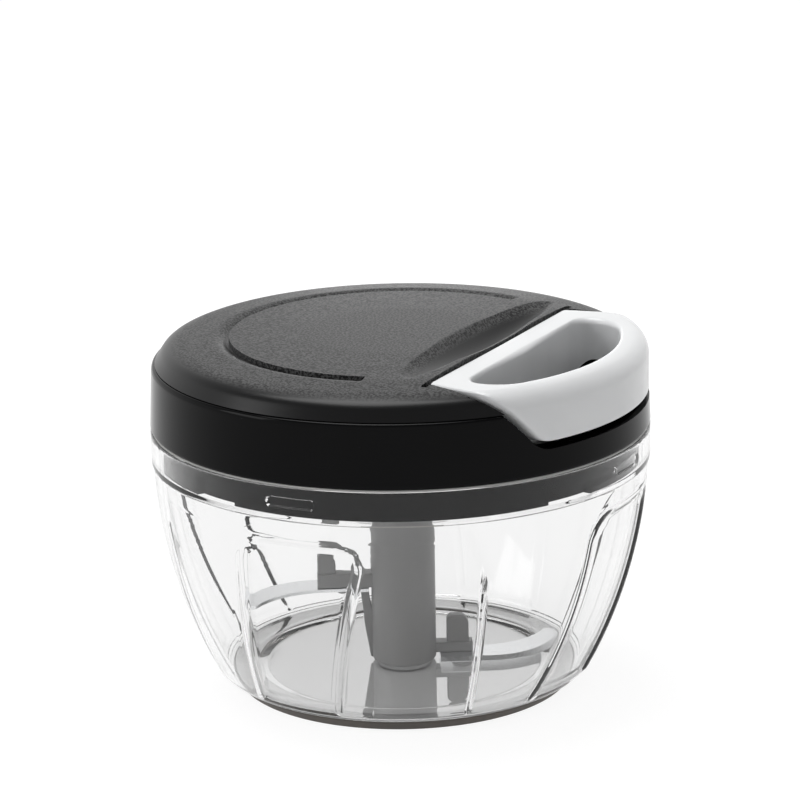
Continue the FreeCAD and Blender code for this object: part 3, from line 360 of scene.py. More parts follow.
def spark_abs():
    """Black ABS from a spark-eroded mould: a pebbled matt top whose grey glints are painted into its
    colour as lighter spots (painted highlights), and smooth satin black on the shoulder and in the
    scoop, which lie lower."""
    material, tree, surface = shader(
        "black_ABS_spark_eroded", IOR=1.5, Specular_IOR_Level=0.25,
    )
    place = add(tree, "ShaderNodeTexCoord").outputs["Object"]
    # Spots of 0.3 mm, coarser than the real 0.1 mm, so that they show in the render
    spots = add(tree, "ShaderNodeTexNoise", {
        "Vector": place, "Scale": 1.7 / MM, "Roughness": 0.6,
    }).outputs["Fac"]
    height = add(tree, "ShaderNodeSeparateXYZ", {"Vector": place}).outputs["Z"]
    level = add(tree, "ShaderNodeMapRange", {
        "Value": height, "From Min": SMOOTH_TOP * MM, "From Max": SPARK_LOW * MM,
    }).outputs["Result"]
    strength = add(tree, "ShaderNodeMath", {0: level, 1: 0.6}, operation="MULTIPLY")
    bump = add(tree, "ShaderNodeBump", {
        "Height": spots, "Distance": 0.05 * MM, "Strength": strength.outputs[0],
    })
    # Painted highlights: lighter grey spots in the top's colour stand in for the glints of its pebbled
    # surface
    painted_glints = add(tree, "ShaderNodeValToRGB", {"Fac": spots}, [(0.42, "#141415"), (0.58, "#525252")])
    colour = add(tree, "ShaderNodeMix", {
        "Factor": level, 6: linear("#0B0B0C"), 7: painted_glints.outputs["Color"],
    }, data_type="RGBA")
    rough = add(tree, "ShaderNodeMapRange", {"Value": level, "To Min": 0.3, "To Max": 0.45})
    tree.links.new(colour.outputs[2], surface.inputs["Base Color"])
    tree.links.new(rough.outputs["Result"], surface.inputs["Roughness"])
    tree.links.new(bump.outputs["Normal"], surface.inputs["Normal"])
    return material


def plain_plastic(name, colours, roughness, grain_size, grain_depth, **values):
    """A moulded plastic: a colour that wanders a little over some 11 mm, as where the melt
    flowed, and a fine moulded grain."""
    material, tree, surface = shader(name, Roughness=roughness, **values)
    place = grain(tree, surface, grain_size, grain_depth)
    drift = add(tree, "ShaderNodeTexNoise", {"Vector": place, "Scale": 0.045 / MM, "Detail": 1.0})
    colour = add(
        tree, "ShaderNodeValToRGB", {"Fac": drift.outputs["Fac"]},
        [(0.35, colours[0]), (0.65, colours[1])],
    )
    tree.links.new(colour.outputs["Color"], surface.inputs["Base Color"])
    return material


def brushed_steel(name, colour, roughness, size, stretch):
    """Rolled and ground steel: fine lines along one way that smear the shine across them."""
    material, tree, surface = shader(name, Metallic=1.0, Base_Color=linear(colour))
    place = add(tree, "ShaderNodeTexCoord").outputs["Object"]
    lines = add(tree, "ShaderNodeMapping", {"Vector": place, "Scale": stretch})
    noise = add(tree, "ShaderNodeTexNoise", {
        "Vector": lines.outputs["Vector"], "Scale": 0.5 / (size * MM), "Detail": 3.0,
    }).outputs["Fac"]
    rough = add(tree, "ShaderNodeMapRange", {
        "Value": noise, "To Min": roughness * 0.6, "To Max": roughness * 1.4,
    })
    bump = add(tree, "ShaderNodeBump", {"Height": noise, "Distance": 0.004 * MM, "Strength": 1.0})
    tree.links.new(rough.outputs["Result"], surface.inputs["Roughness"])
    tree.links.new(bump.outputs["Normal"], surface.inputs["Normal"])
    return material


def braided_nylon():
    """Braided nylon: crossing strands by the cord's own UV, u round it and v along it in mm.
    Its colour is darker in the grooves between the strands: painted shade.
    """
    material, tree, surface = shader("nylon_braided", Roughness=0.7)
    place = add(tree, "ShaderNodeUVMap", uv_map="along").outputs["UV"]
    strands = []
    for side in (1, -1):
        way = add(tree, "ShaderNodeMapping", {
            "Vector": place, "Rotation": (0, 0, side * 0.78), "Scale": (6.0, 1.6, 1.0),
        })
        wave = add(tree, "ShaderNodeTexWave", {"Vector": way.outputs[0], "Scale": 1.0})
        strands.append(wave.outputs["Fac"])
    high = add(tree, "ShaderNodeMath", {0: strands[0], 1: strands[1]}, operation="MAXIMUM").outputs[0]
    # Painted shade: the colour darkens from the strands' crests into the grooves between them, as the
    # bump height does
    colour = add(tree, "ShaderNodeValToRGB", {"Fac": high}, [(0.3, "#8F8E88"), (0.8, "#E3E1DA")])
    bump = add(tree, "ShaderNodeBump", {"Height": high, "Distance": 0.08 * MM, "Strength": 1.0})
    tree.links.new(colour.outputs["Color"], surface.inputs["Base Color"])
    tree.links.new(bump.outputs["Normal"], surface.inputs["Normal"])
    return material


CLEAR = clear_san()
COVER = spark_abs()
BAND = plain_plastic(
    "black_ABS_gloss", ("#050506", "#070708"), 0.1, 14.0, 0.004,
    Specular_IOR_Level=0.08, IOR=1.5,
)
WHITE = plain_plastic("pale_grey_ABS_gloss", ("#E9EAEB", "#EEEFF0"), 0.22, 6.0, 0.004, IOR=1.5)
GREY = plain_plastic("grey_PP_moulded", ("#B4B4B4", "#BEBEBE"), 0.45, 2.5, 0.008, IOR=1.49)
RUBBER = plain_plastic("dark_TPE_moulded", ("#605B56", "#6C6660"), 0.7, 0.7, 0.02, IOR=1.5)
SEAL = plain_plastic("pale_silicone_moulded", ("#B2B2B0", "#BCBCBA"), 0.45, 1.2, 0.01, IOR=1.41)
ACETAL = plain_plastic("white_acetal_moulded", ("#DAD9D3", "#E2E1DB"), 0.35, 0.9, 0.01, IOR=1.48)
BLADE = brushed_steel("stainless_steel_ground", "#EDEEEF", 0.26, 0.25, (1.0, 12.0, 1.0))
BRIGHT = brushed_steel("steel_zinc_plated", "#B9BCC0", 0.3, 0.4, (1.0, 1.0, 4.0))
SPRING = brushed_steel("spring_steel_blued", "#4E5A70", 0.3, 0.3, (1.0, 1.0, 6.0))
BRASS = brushed_steel("brass_turned", "#C8A45A", 0.25, 0.3, (8.0, 1.0, 1.0))
NYLON = braided_nylon()


# Bowl

def wall_radius(z, inset=0.0):
    """The bowl wall's arc: sqrt((arc - inset)^2 - (z - arc height)^2) - centre."""
    return np.sqrt((WALL_ARC - inset) ** 2 - (np.asarray(z) - WALL_ARC_Z) ** 2) - WALL_CENTRE


def wall_line(low, top, inset):
    """Points up the wall at an inset, closer together where panels and ribs end."""
    soft = PANEL_SOFT * np.array([-1.0, -0.5, 0.0, 0.5, 1.0])
    marks = np.concatenate([PANEL_LOW + soft, PANEL_TOP + soft, RIB_TOP - 1.5 + soft])
    z = np.concatenate([np.arange(low, top, 1.6), [top], marks])
    z = np.unique(z[(z >= low) & (z <= top)])
    return np.stack([wall_radius(z, inset), z], 1)


def panel_side(z):
    """Where a panel's two leaning sides lie at a height, in mm from its middle."""
    share = np.clip((z - PANEL_LOW) / (PANEL_TOP - PANEL_CORNER - PANEL_LOW), 0, 1.15)
    return PANEL_LEFT + LEFT_LEAN * share, PANEL_RIGHT + RIGHT_LEAN * share


def corner_depth(side, level, corner):
    """How far inside a round corner a point is, from its ways to the corner's two edges: the
    corner's radius less the distance to the middle of its arc."""
    return corner - np.hypot(np.clip(corner - side, 0, None), np.clip(corner - level, 0, None))


def panel_depth(across, z):
    """How far inside a panel's outline a point of the wall is, with round upper corners."""
    left, right = panel_side(z)
    side = np.minimum(across - left, (right - across) * 0.97)
    return np.minimum(corner_depth(side, PANEL_TOP - z, PANEL_CORNER), z - PANEL_LOW)


def lug_depth(quarter, z):
    """How far inside a lug's outline, which has round corners, a point of the rim is."""
    side = np.radians(LUG_HALF - np.abs(quarter)) * RIM_INNER
    return corner_depth(side, np.minimum(z - LUG_LOW, LUG_TOP - z), LUG_CORNER)


def bowl_columns(radius, z):
    """One angle a column for every point of the profile, 4 times round. Columns lean with the
    panels' sides and come together there, at the ribs and, in the rim, at the lugs' ends."""
    reach = np.clip(radius, 44.0, None)
    left, right = [np.degrees(np.arcsin(side / reach)) for side in panel_side(z)]
    lift = np.clip((z - PANEL_TOP - 1) / 4, 0, 1)
    left, right = left + (-LUG_HALF - left) * lift, right + (LUG_HALF - right) * lift
    near, by_rib = 1.4 - 0.7 * lift, 45 - 1.4
    knots = np.stack(np.broadcast_arrays(
        -45, -by_rib, left - near, left + near, right - near, right + near, by_rib, 45,
    ), 1)
    counts = (5, 12, 10, 22, 10, 12, 5)
    columns = [
        knots[:, [k]] + (knots[:, [k + 1]] - knots[:, [k]]) * np.arange(n)[None] / n
        for k, n in enumerate(counts)
    ]
    quarter = np.concatenate(columns, 1)
    return quarter, np.concatenate([quarter + 90 * k for k in range(4)], 1)


def make_bowl():
    """A closed profile turned round Z. Both faces of the wall step in by the panel's depth
    inside its outline, the inner face by the rib's at each corner and by the lugs."""
    outside = wall_line(5.4, RIM_STEP, 0.0)
    inside = wall_line(5.8, 57.5, WALL)[::-1]
    foot, low = outside[0], inside[-1]
    lug_ends = LUG_SOFT * np.array([-1.0, 0.0, 1.0, 2.4, 4.0])
    lug_rows = [*(LUG_LOW + lug_ends), *(LUG_TOP - lug_ends[::-1])]
    profile = np.concatenate([
        rounded([(2.55, 1.6), (4.05, 1.6), (4.05, 0.8), (6.5, 0.8), (6.5, 1.4, 0.3),
                 (RING_INNER - 0.05, 1.4, 0.3), (RING_INNER - 0.05, RING_TOP + 0.02, 0.2),
                 (45.4, RING_TOP + 0.02, 1.6), foot], 1.5)[:-1],
        outside[:-1],
        rounded([outside[-1], (RIM, RIM_STEP + 0.48, 0.08), (RIM, RIM_TOP, 0.4),
                 (RIM_INNER, RIM_TOP, 0.5), *((RIM_INNER, z) for z in lug_rows[::-1]),
                 (RIM_INNER, 59.0, 0.5), inside[0]], 0.9)[:-1],
        inside[:-1],
        rounded([low, (low[0] - 0.9, 4.6, 1.2), (low[0] - 3.1, LEDGE, 2.0), (37.5, LEDGE, 1.2),
                 (34.5, FLOOR, 1.2), (5.0, FLOOR, 0.2), (5.0, 3.7, 0.1), (2.55, 3.7)], 1.5),
    ])
    radius, z = profile.T
    quarter, angles = bowl_columns(radius, z)
    quarter = np.tile(quarter, 4)
    radius, z = radius[:, None], z[:, None]
    number = np.arange(len(profile))[:, None]

    def rows_of(line):
        start = np.argmax(np.isclose(profile, line[0]).all(1))
        return (number >= start) & (number < start + len(line))

    inner = rows_of(inside)
    inside_panel = panel_depth(radius * np.sin(np.radians(quarter)), z)
    panel = slope(inside_panel, -PANEL_SOFT, PANEL_SOFT) * (rows_of(outside) | inner)
    away = np.radians(45 - np.abs(quarter)) * radius
    rib = (1 - slope(away, RIB_FLAT, RIB_EDGE)) * inner
    rib = rib * slope(z, PANEL_LOW, PANEL_LOW + 1.0) * slope(RIB_TOP - z, 0.0, RIB_TAPER)
    lug = slope(lug_depth(quarter, z), -LUG_SOFT, LUG_SOFT) * (np.abs(radius - RIM_INNER) < 0.01)
    radius = radius - PANEL_DEPTH * panel - RIB_DEPTH * rib - LUG_DEPTH * lug
    points = spun(polar(radius, angles, z).transpose(1, 0, 2), BOWL_TURN)
    piece("clear_bowl", [grid(points, True, True)], "bowl", ["bowl"], CLEAR)


def make_base_ring():
    """A ring with a slanted outside, turned round Z."""
    profile = rounded([
        (RING_INNER, 0.0, 0.4), (41.8, 0.0, 0.6), (44.9, RING_TOP, 0.4), (RING_INNER, RING_TOP, 0.2),
    ], 1.0, closed=True)
    points = turned(profile, ring_angles(240))
    piece("foot_ring", [grid(points, True, True)], "bowl", ["base_ring"], RUBBER)


# Blade unit

def slab(outline, low, high, plane="xy"):
    """Patches of an outline given a thickness: quads between the same closed line at both
    heights and two flat faces, each one polygon. plane says which axes the outline lies in."""
    outline = np.asarray(outline, float)
    x, y = outline.T
    if (x * np.roll(y, -1) - np.roll(x, -1) * y).sum() < 0:
        outline = outline[::-1]
    count = len(outline)
    points = np.concatenate([spread(*outline.T, z) for z in (low, high)])
    i = np.arange(count)
    sides = np.stack([i, (i + 1) % count, (i + 1) % count + count, i + count], 1)
    if plane == "xz":
        points = points[:, [0, 2, 1]] * (1, -1, 1)
    ring = list(range(count))
    return [(points, sides), (points[i[::-1]], [ring]), (points[i + count], [ring])]


def make_blade_shaft():
    """A turned column with two flat arms, a round-shouldered tab on each, and a brace."""
    column = rounded([
        (0.0, 3.9), (2.55, 3.9), (7.5, 3.9), (8.1, 4.5, 0.5), (8.1, 51.4, 0.5), (7.5, 52.0),
        (5.2, 52.0, 0.4), (5.2, 61.4, 0.5), (0.0, 61.4),
    ], 2.0)
    column = turned(column, ring_angles(96))
    dogs = []
    for middle in (0, 180):
        angle = np.linspace(middle - 20, middle + 20, 12)
        inner, outer = [polar(radius, angle, 0)[:, :2] for radius in (4.9, 7.6)]
        dogs.append(slab(np.concatenate([inner[::-1], outer]), 54.0, 61.4))
    parts = [
        slab([(6.6, -2), (17.3, -2), (17.3, 2), (6.6, 2)], 5.5, 8.1),
        slab([(-6.6, 2), (-21.7, 2), (-21.7, -2), (-6.6, -2)], 23.3, 27.0),
        slab(rounded([(10.8, 7.9), (16.3, 7.9), (16.3, 15.1, 2.4), (10.8, 15.1, 1.6)],
                     0.5, closed=True), -1.4, 1.4, "xz"),
        slab(rounded([(-17.0, 26.8), (-21.6, 26.8), (-21.6, 32.4, 1.4), (-17.0, 32.4, 1.0)],
                     0.5, closed=True), -1.4, 1.4, "xz"),
        slab([(-11.7, 23.8), (-9.3, 23.8), (-7.4, 14.5), (-6.5, 14.5), (-6.5, 4.5),
              (-8.5, 4.5)], -1.0, 1.0, "xz"),
    ]
    pegs = []
    for side, low in ((1, LOWER_BLADE), (-1, UPPER_BLADE)):
        head = rounded([(0.0, low - 0.6), (2.5, low - 0.6, 0.5), (2.5, low, 0.1),
                        (1.5, low), (1.5, low + 1.0), (0.0, low + 1.0)], 0.6)
        pegs.append(grid(turned(head, ring_angles(32)) + (side * PEG_PLACE, 0, 0), True))
    patches = sum(parts + dogs, []) + [grid(column, True)] + pegs
    patches = [(spun(points, BLADE_TURN), faces) for points, faces in patches]
    piece(
        "blade_holder", patches, "blade_unit", ["blade_shaft"], GREY, bevel=0.35,
    )


def blade_edges():
    """The blade's two long edges from root to tip, at the same share of their lengths: each a
    straight run, a long arc and half of the round tip."""
    tip = bow((40.9, 8.97), (37.0, 13.6), 4.2, 25)
    leading = np.concatenate([[(9.0, -6.9)], bow((22.0, -6.9), (40.9, 8.97), 19.2, 60), tip[1:13]])
    trailing = np.concatenate([
        [(9.0, 2.6)], bow((37.0, 13.6), (20.0, 2.6), -19.4, 50)[::-1], tip[12:-1][::-1],
    ])
    share = np.linspace(0, 1, 110)
    lines = []
    for line in (leading, trailing):
        length = np.concatenate([[0], np.cumsum(np.hypot(*np.diff(line, axis=0).T))])
        lines.append(np.column_stack([
            np.interp(share * length[-1], length, line[:, k]) for k in (0, 1)
        ]))
    return lines


def make_blade(name, node, low, angle):
    """A sickle lofted between its two edges. Across it, from the ground leading edge, the
    top rises over 1.8 mm to the full thickness; the two long edges close in a round tip."""
    lead, trail = blade_edges()
    width = np.hypot(*(trail - lead).T)[:, None]
    bevel = np.minimum(1.8 / np.maximum(width, 0.1), 0.6)
    across = np.concatenate([np.zeros_like(width), bevel * 0.5, bevel, bevel + (1 - bevel) * 0.5,
                             np.ones_like(width)], 1)
    plan = lead[:, None] + (trail - lead)[:, None] * across[..., None]
    x, y = np.moveaxis(plan, -1, 0)
    thick = np.array([0.15, 0.47, BLADE_THICK, BLADE_THICK, BLADE_THICK])
    section = np.concatenate([spread(x, y, low + thick), spread(x, y, low)[:, ::-1]], 1)
    section = spun(section[:, ::-1], angle)
    ring = list(range(section.shape[1]))
    patches = [grid(section, False, True), (section[0], [ring]), (section[-1], [ring[::-1]])]
    piece(name, patches, "blade_unit", [node], BLADE, sharp=20.0)


# Lid: the shared outlines

def tray_reach(z, gap):
    """Half the handle's width at a height, grown by a gap: an arc of 4 mm at the foot, then
    a straight side that leans out by 38.1 degrees."""
    z = np.asarray(z, float)
    radius = FOOT_FILLET + gap
    centre = HANDLE_LOW + FOOT_FILLET
    knee = centre - radius * math.sin(SIDE_LEAN)
    foot = FOOT_HALF + np.sqrt(np.clip(radius ** 2 - (centre - z) ** 2, 0, None))
    side = FOOT_HALF + radius * math.cos(SIDE_LEAN) + (z - knee) * math.tan(SIDE_LEAN)
    return np.where(z < HANDLE_LOW - gap, -1.0, np.where(z < knee, foot, side))


def corner_reach(x, gap):
    """Half the handle's width at its upper corners, which spreads outwards from its back."""
    return CORNER_HALF + gap + CORNER_SPREAD * (x - HANDLE_BACK)


def soft_least(a, b, blend):
    """The lesser of two heights with a rounded crest between them."""
    share = np.clip(0.5 + (b - a) / (2 * blend), 0, 1)
    return b + (a - b) * share - blend * share * (1 - share)


def scoop_line():
    """The scoop from the side: a round crest, a hollow, and a rise to the recess's wall."""
    corners = np.array([(-8.3, 4.3), (-6.2, 3.1), (0, 0), (3.6, 2.7), (5.8, 3.4)])
    corners += (SCOOP_PLACE, SCOOP_FLOOR)
    return np.concatenate([
        bow(corners[k], corners[k + 1], radius)[:-1]
        for k, radius in enumerate((-2.4, 7.75, 7.75, -3.2))
    ] + [corners[-1:]])


SCOOP = scoop_line()


def scoop_height(x, y):
    """The scoop's line swept about a level axis high above the lid:
    axis - sqrt((axis - line(x))^2 - (y - middle)^2)."""
    line = np.interp(x, SCOOP[:, 0], SCOOP[:, 1], left=200.0, right=SCOOP[-1, 1])
    reach = (SCOOP_AXIS - line) ** 2 - (y - SCOOP_MIDDLE) ** 2
    return SCOOP_AXIS - np.sqrt(np.clip(reach, 0, None))


DOME = rounded([
    (0.0, DOME_TOP), (22.0, DOME_TOP - 0.1, 60.0), (DOME_EDGE - 2, DOME_EDGE_Z + 0.03, 60.0),
    (54.6, 88.05, 20.0), (58.2, 86.6, 4.6), (COVER_EDGE, COVER_EDGE_Z),
], 0.5)


def dome_radius(z):
    """The cover's outer radius at a height below its shoulder."""
    rim = DOME[DOME[:, 0] > 50][::-1]
    return np.interp(z, rim[:, 1], rim[:, 0], left=TRAY_END)


def dome_height(radius):
    """The cover's height at a radius, without groove and scoop."""
    return np.interp(radius, DOME[:, 0], DOME[:, 1])


def cover_height(x, y):
    """The cover's top: the dome, or the scoop where that is lower."""
    return soft_least(dome_height(np.hypot(x, y)), scoop_height(x, y), 0.12)


def recess_depth(points):
    """How far inside the handle's recess a point of the cover's outside is."""
    x, y, z = points.T
    side = np.minimum(tray_reach(z, TRAY_GAP), corner_reach(x, TRAY_GAP))
    return np.minimum(x - RECESS_BACK, side - np.abs(y))


def notch_depth(x, y):
    """How far inside the round-ended notch that runs past the gap behind the handle."""
    return TRAY_GAP - np.hypot(np.clip(np.abs(y) - NOTCH_HALF, 0, None), x - HANDLE_BACK)


def make_cover():
    """The dome as rings round Z, sunk by the groove and the scoop, then trimmed: the recess
    goes, and below the dome's rim only the tray's end stays. Walls close the recess."""
    rise = bow((GROOVE_FLOOR, -GROOVE_DEPTH), (GROOVE_WIDTH, 0.0), -GROOVE_BEND, 12)
    sunk = np.concatenate([
        [(-0.35, 0.0), (0.0, 0.0), (0.1, -GROOVE_DEPTH)], rise, [(GROOVE_WIDTH + 0.3, 0.0)],
    ])
    marks = GROOVE + sunk[:, 0]
    extra = np.column_stack([marks, dome_height(marks)])
    near = (DOME[:, 0] > marks[0] - 0.2) & (DOME[:, 0] < marks[-1] + 0.2)
    top = np.concatenate([DOME[~near], extra])
    top = top[np.argsort(top[:, 0])]
    profile = np.concatenate([top, [(TRAY_END, z) for z in (COVER_EDGE_Z, 79.0, 76.0, 72.3)]])
    ends = (74.0, 286.0)
    angles = ring_angles(560, [e + np.array([-0.5, 0.0, 0.5]) for e in ends])
    x, y, z = np.moveaxis(turned(profile, angles), -1, 0)
    depth = np.interp(profile[:, 0] - GROOVE, sunk[:, 0], sunk[:, 1])
    along = slope(angles, ends[0] - 0.1, ends[0] + 0.8)
    along = along * slope(-angles, -ends[1] - 0.1, -ends[1] + 0.8)
    hollow = soft_least(z + depth * along[:, None], scoop_height(x, y), 0.12)
    points = spread(x, y, np.where(z > COVER_SIDE_Z, hollow, z))

    def kept(p):
        x, y, z = p.T
        outside = np.where(z > COVER_SIDE_Z, -notch_depth(x, y), 1.0)
        outside = np.minimum(-recess_depth(p), outside)
        tray = np.minimum(x, tray_reach(z, TRAY_GAP + TRAY_WALL) - np.abs(y))
        return np.minimum(outside, np.maximum(z - COVER_EDGE_Z + 0.01, tray))

    lip = rounded([(59.0, 79.0), (59.0, COVER_EDGE_Z - 0.1), (COVER_EDGE, COVER_EDGE_Z)], 1.0)
    patches = [
        trimmed(*grid(points[:, ::-1], True), kept),
        trimmed(*grid(turned(lip, ring_angles(180)), True), lambda p: -recess_depth(p)),
        *recess_walls(),
    ]
    piece("lid_cover_shell", patches, "lid", ["lid_cover"], COVER, sharp=40.0)


def opening_line(gap):
    """The outline (y, z) of the handle's way out, grown by a gap, from one top to the other."""
    low = HANDLE_LOW - gap
    z = np.concatenate([
        low + (1 - np.cos(np.linspace(0, math.pi / 2, 14))) * 3.0,
        np.linspace(low + 3.2, 88.6, 44),
    ])
    side = np.column_stack([tray_reach(z, gap), z])
    bed = np.column_stack([np.linspace(0, FOOT_HALF - 0.1, 30), np.full(30, low)])
    half = np.concatenate([bed, side])
    return np.concatenate([half[::-1] * (-1, 1), half[1:]])


def upright(x, y, foot, top, count):
    """The points of an upright wall on a plan line, in count even rows: foot + (top - foot) t."""
    return spread(x, y, foot + (top - foot) * np.linspace(0, 1, count)[:, None])


def recess_walls():
    """The recess: its level bed and slanted sides, run out along X to the cover's outside,
    the upright corner walls, the straight back wall and the notch at each end of it."""
    gap = TRAY_GAP
    y, z = opening_line(gap).T
    out = np.sqrt(np.clip(dome_radius(z) ** 2 - y ** 2, 0, None))
    # The side wall starts where the upright corner reaches that width
    start = HANDLE_BACK + (np.abs(y) - CORNER_HALF - gap) / CORNER_SPREAD
    start = np.maximum(RECESS_BACK, start)
    out = np.maximum(out, start)
    patches = [grid(spread(start + (out - start) * np.linspace(0, 1, 16)[:, None], y, z))]
    # Back wall, from the bed or the side up to the cover's top
    heights = np.linspace(HANDLE_LOW - gap, 88.8, 500)
    reach = np.maximum.accumulate(tray_reach(heights, gap))
    wide = float(corner_reach(RECESS_BACK, gap))
    y = np.linspace(-wide, wide, 140)
    bed = np.abs(y) < FOOT_HALF
    foot = np.where(bed, HANDLE_LOW - gap, np.interp(np.abs(y), reach, heights))
    patches.append(grid(upright(RECESS_BACK, y, foot, cover_height(RECESS_BACK, y), 12)))
    for side in (1, -1):
        # Upright corner wall
        x = np.linspace(RECESS_BACK, 58.0, 60)
        wide = corner_reach(x, gap)
        top = cover_height(x, wide)
        foot = np.minimum(np.interp(wide, reach, heights), top)
        patches.append(grid(upright(x, side * wide, foot, top, 5)[::-side]))
        # Notch
        bend = np.linspace(-math.pi / 2, math.pi / 2, 13)
        rim_x = np.concatenate([[RECESS_BACK], HANDLE_BACK + gap * np.sin(bend), [HANDLE_BACK + gap]])
        rim_y = np.concatenate([[38.8], NOTCH_HALF + gap * np.cos(bend), [39.2]])
        wall = upright(rim_x, side * rim_y, NOTCH_FLOOR, cover_height(rim_x, rim_y), 3)
        floor = np.stack([wall[0], wall[0][::-1]])
        patches += [grid(wall[::side]), grid(floor[::-side])]
    return patches


def make_band():
    """The gloss band, the flange and the skirt as one closed profile turned round Z. The
    skirt's slots are steps in radius, its entries also notch the lower edge, and the handle's
    opening is trimmed out of the band and lined."""
    profile = rounded([
        (57.0, SKIRT_LOW, 0.2), (59.0, SKIRT_LOW, 0.1), (SKIRT, SKIRT_LOW + 0.4, 0.1),
        (SKIRT, SLOT_LOW - 0.05), (SKIRT, SLOT_LOW + 0.05), (SKIRT, SLOT_TOP - 0.05),
        (SKIRT, SLOT_TOP + 0.05), (SKIRT, 67.0), (61.9, 67.0, 0.25), (62.2, 67.4, 0.3),
        (61.52, BAND_TOP - 1.1, 1.0), (61.2, BAND_TOP - 0.05, 0.75), (60.2, BAND_TOP, 0.3),
        (BAND_INNER, BAND_TOP - 0.3, 0.2), (BAND_INNER, 78.0), (57.0, 70.0),
    ], 0.55, closed=True)
    entries = np.array([0, 90, 180, 270]) + BOWL_TURN - UNLOCK_TURN
    runs = entries + UNLOCK_TURN / 2
    step = np.array([-0.05, 0.05])
    angles = ring_angles(
        540,
        [e + s * ENTRY_HALF + step for e in entries for s in (1, -1)],
        [r + s * RUN_HALF + step for r in runs for s in (1, -1)],
    )
    a = angles[:, None]
    radius, z = profile[:, 0][None], profile[:, 1][None]
    skirt = (np.abs(radius - SKIRT) < 0.45) & (z < 66.5)
    run = (off_centre(a, runs) < RUN_HALF) & (z > SLOT_LOW) & (z < SLOT_TOP)
    entry = (off_centre(a, entries) < ENTRY_HALF) & (z < SLOT_TOP)
    radius = radius - SLOT_DEPTH * (skirt & (run | entry))
    notch = entry & (z < SKIRT_LOW + 0.8) & (radius < 59.5)
    points = polar(radius, a, np.where(notch, SKIRT_LOW + 0.8, z))

    def kept(p):
        opening = tray_reach(p[:, 2], BAND_GAP) - np.abs(p[:, 1])
        return np.where(p[:, 0] > 0, -opening, 1.0)

    line = opening_line(BAND_GAP)
    y, z = line[line[:, 1] < BAND_TOP - 0.05].T
    outline = profile[(profile[:, 0] > 60.6) & (profile[:, 1] > 68)]
    outline = outline[np.argsort(outline[:, 1])]
    out = np.interp(z, outline[:, 1], outline[:, 0])
    radius = BAND_INNER + (out - BAND_INNER) * np.linspace(0, 1, 4)[:, None]
    lining = spread(np.sqrt(radius ** 2 - y ** 2), y, z)
    patches = [trimmed(*grid(points, True, True), kept), grid(lining)]
    piece("lid_band", patches, "lid", ["lid_body"], BAND, sharp=30.0)


def make_seal():
    """A thin ring with a rounded outside, turned round Z."""
    profile = rounded([
        (59.5, 66.35, 0.1), (61.85, 66.35, 0.25), (61.85, 66.95, 0.25), (59.5, 66.95, 0.1),
    ], 0.5, closed=True)
    points = turned(profile, ring_angles(360))
    piece("rim_seal", [grid(points, True, True)], "seal", ["lid_seal"], SEAL)


# Handle

def blended_least(*ways, power=80.0):
    """The least of several distances with a rounded corner where two are alike:
    (sum of distance^-power)^(-1/power)."""
    ways = np.stack(np.broadcast_arrays(*ways))
    least = ways.min(0)
    return least * ((ways / least) ** -power).sum(0) ** (-1 / power)


def handle_way(turn, z):
    """From the handle's middle outwards along a plan direction, the way to its outside at a
    height: the straight back, the slanted sides, the upright corners and the round front."""
    cosine, sine = np.cos(turn), np.abs(np.sin(turn))
    far = 1e4
    back = np.where(cosine < -1e-6, (HANDLE_MIDDLE - HANDLE_BACK) / np.maximum(-cosine, 1e-6), far)
    side = np.maximum(tray_reach(z, 0.0), 1.0) / np.maximum(sine, 1e-6)
    slant = sine - CORNER_SPREAD * cosine
    slant_way = corner_reach(HANDLE_MIDDLE, 0.0) / np.maximum(slant, 1e-6)
    lift = np.clip(z - FRONT_BEND_Z, 0, FRONT_BEND)
    inset = FRONT_BEND - np.sqrt((FRONT_BEND - lift) * (FRONT_BEND + lift))
    front_radius = HANDLE_RADIUS - inset
    across = HANDLE_MIDDLE * cosine
    front = -across + np.sqrt(front_radius ** 2 - HANDLE_MIDDLE ** 2 + across ** 2)
    return blended_least(np.minimum(back, far), np.minimum(side, far), np.minimum(slant_way, far), front)


def hole_way(turn):
    """From the handle's middle, the way to the finger hole's edge: round in front about the
    lid's axis, an arc of 10.6 mm, one of 4.5 mm, and straight behind."""
    front = polar(HOLE_FRONT, 29.5, 0)[:2]
    half = np.concatenate([
        bow((HOLE_FRONT, 0.0), front, HOLE_FRONT, 40), bow(front, (38.4, 33.2), 10.6, 24),
        bow((38.4, 33.2), (HOLE_BACK, 28.7), 4.5), [(HOLE_BACK, 14.0), (HOLE_BACK, 0.0)],
    ]) - (HANDLE_MIDDLE, 0)
    angle = np.arctan2(half[:, 1], half[:, 0])
    order = np.argsort(angle)
    fine = np.linspace(0, math.pi, 2000)
    # A straight edge's way is not even in angle, so its reciprocal is what runs straight
    way = 1 / np.interp(fine, angle[order], 1 / np.hypot(*half.T)[order])
    straight = fine > angle[-2]
    way[straight] = (HANDLE_MIDDLE - HOLE_BACK) / -np.cos(fine[straight])
    return np.interp(np.abs((turn + math.pi) % (2 * math.pi) - math.pi), fine, way)


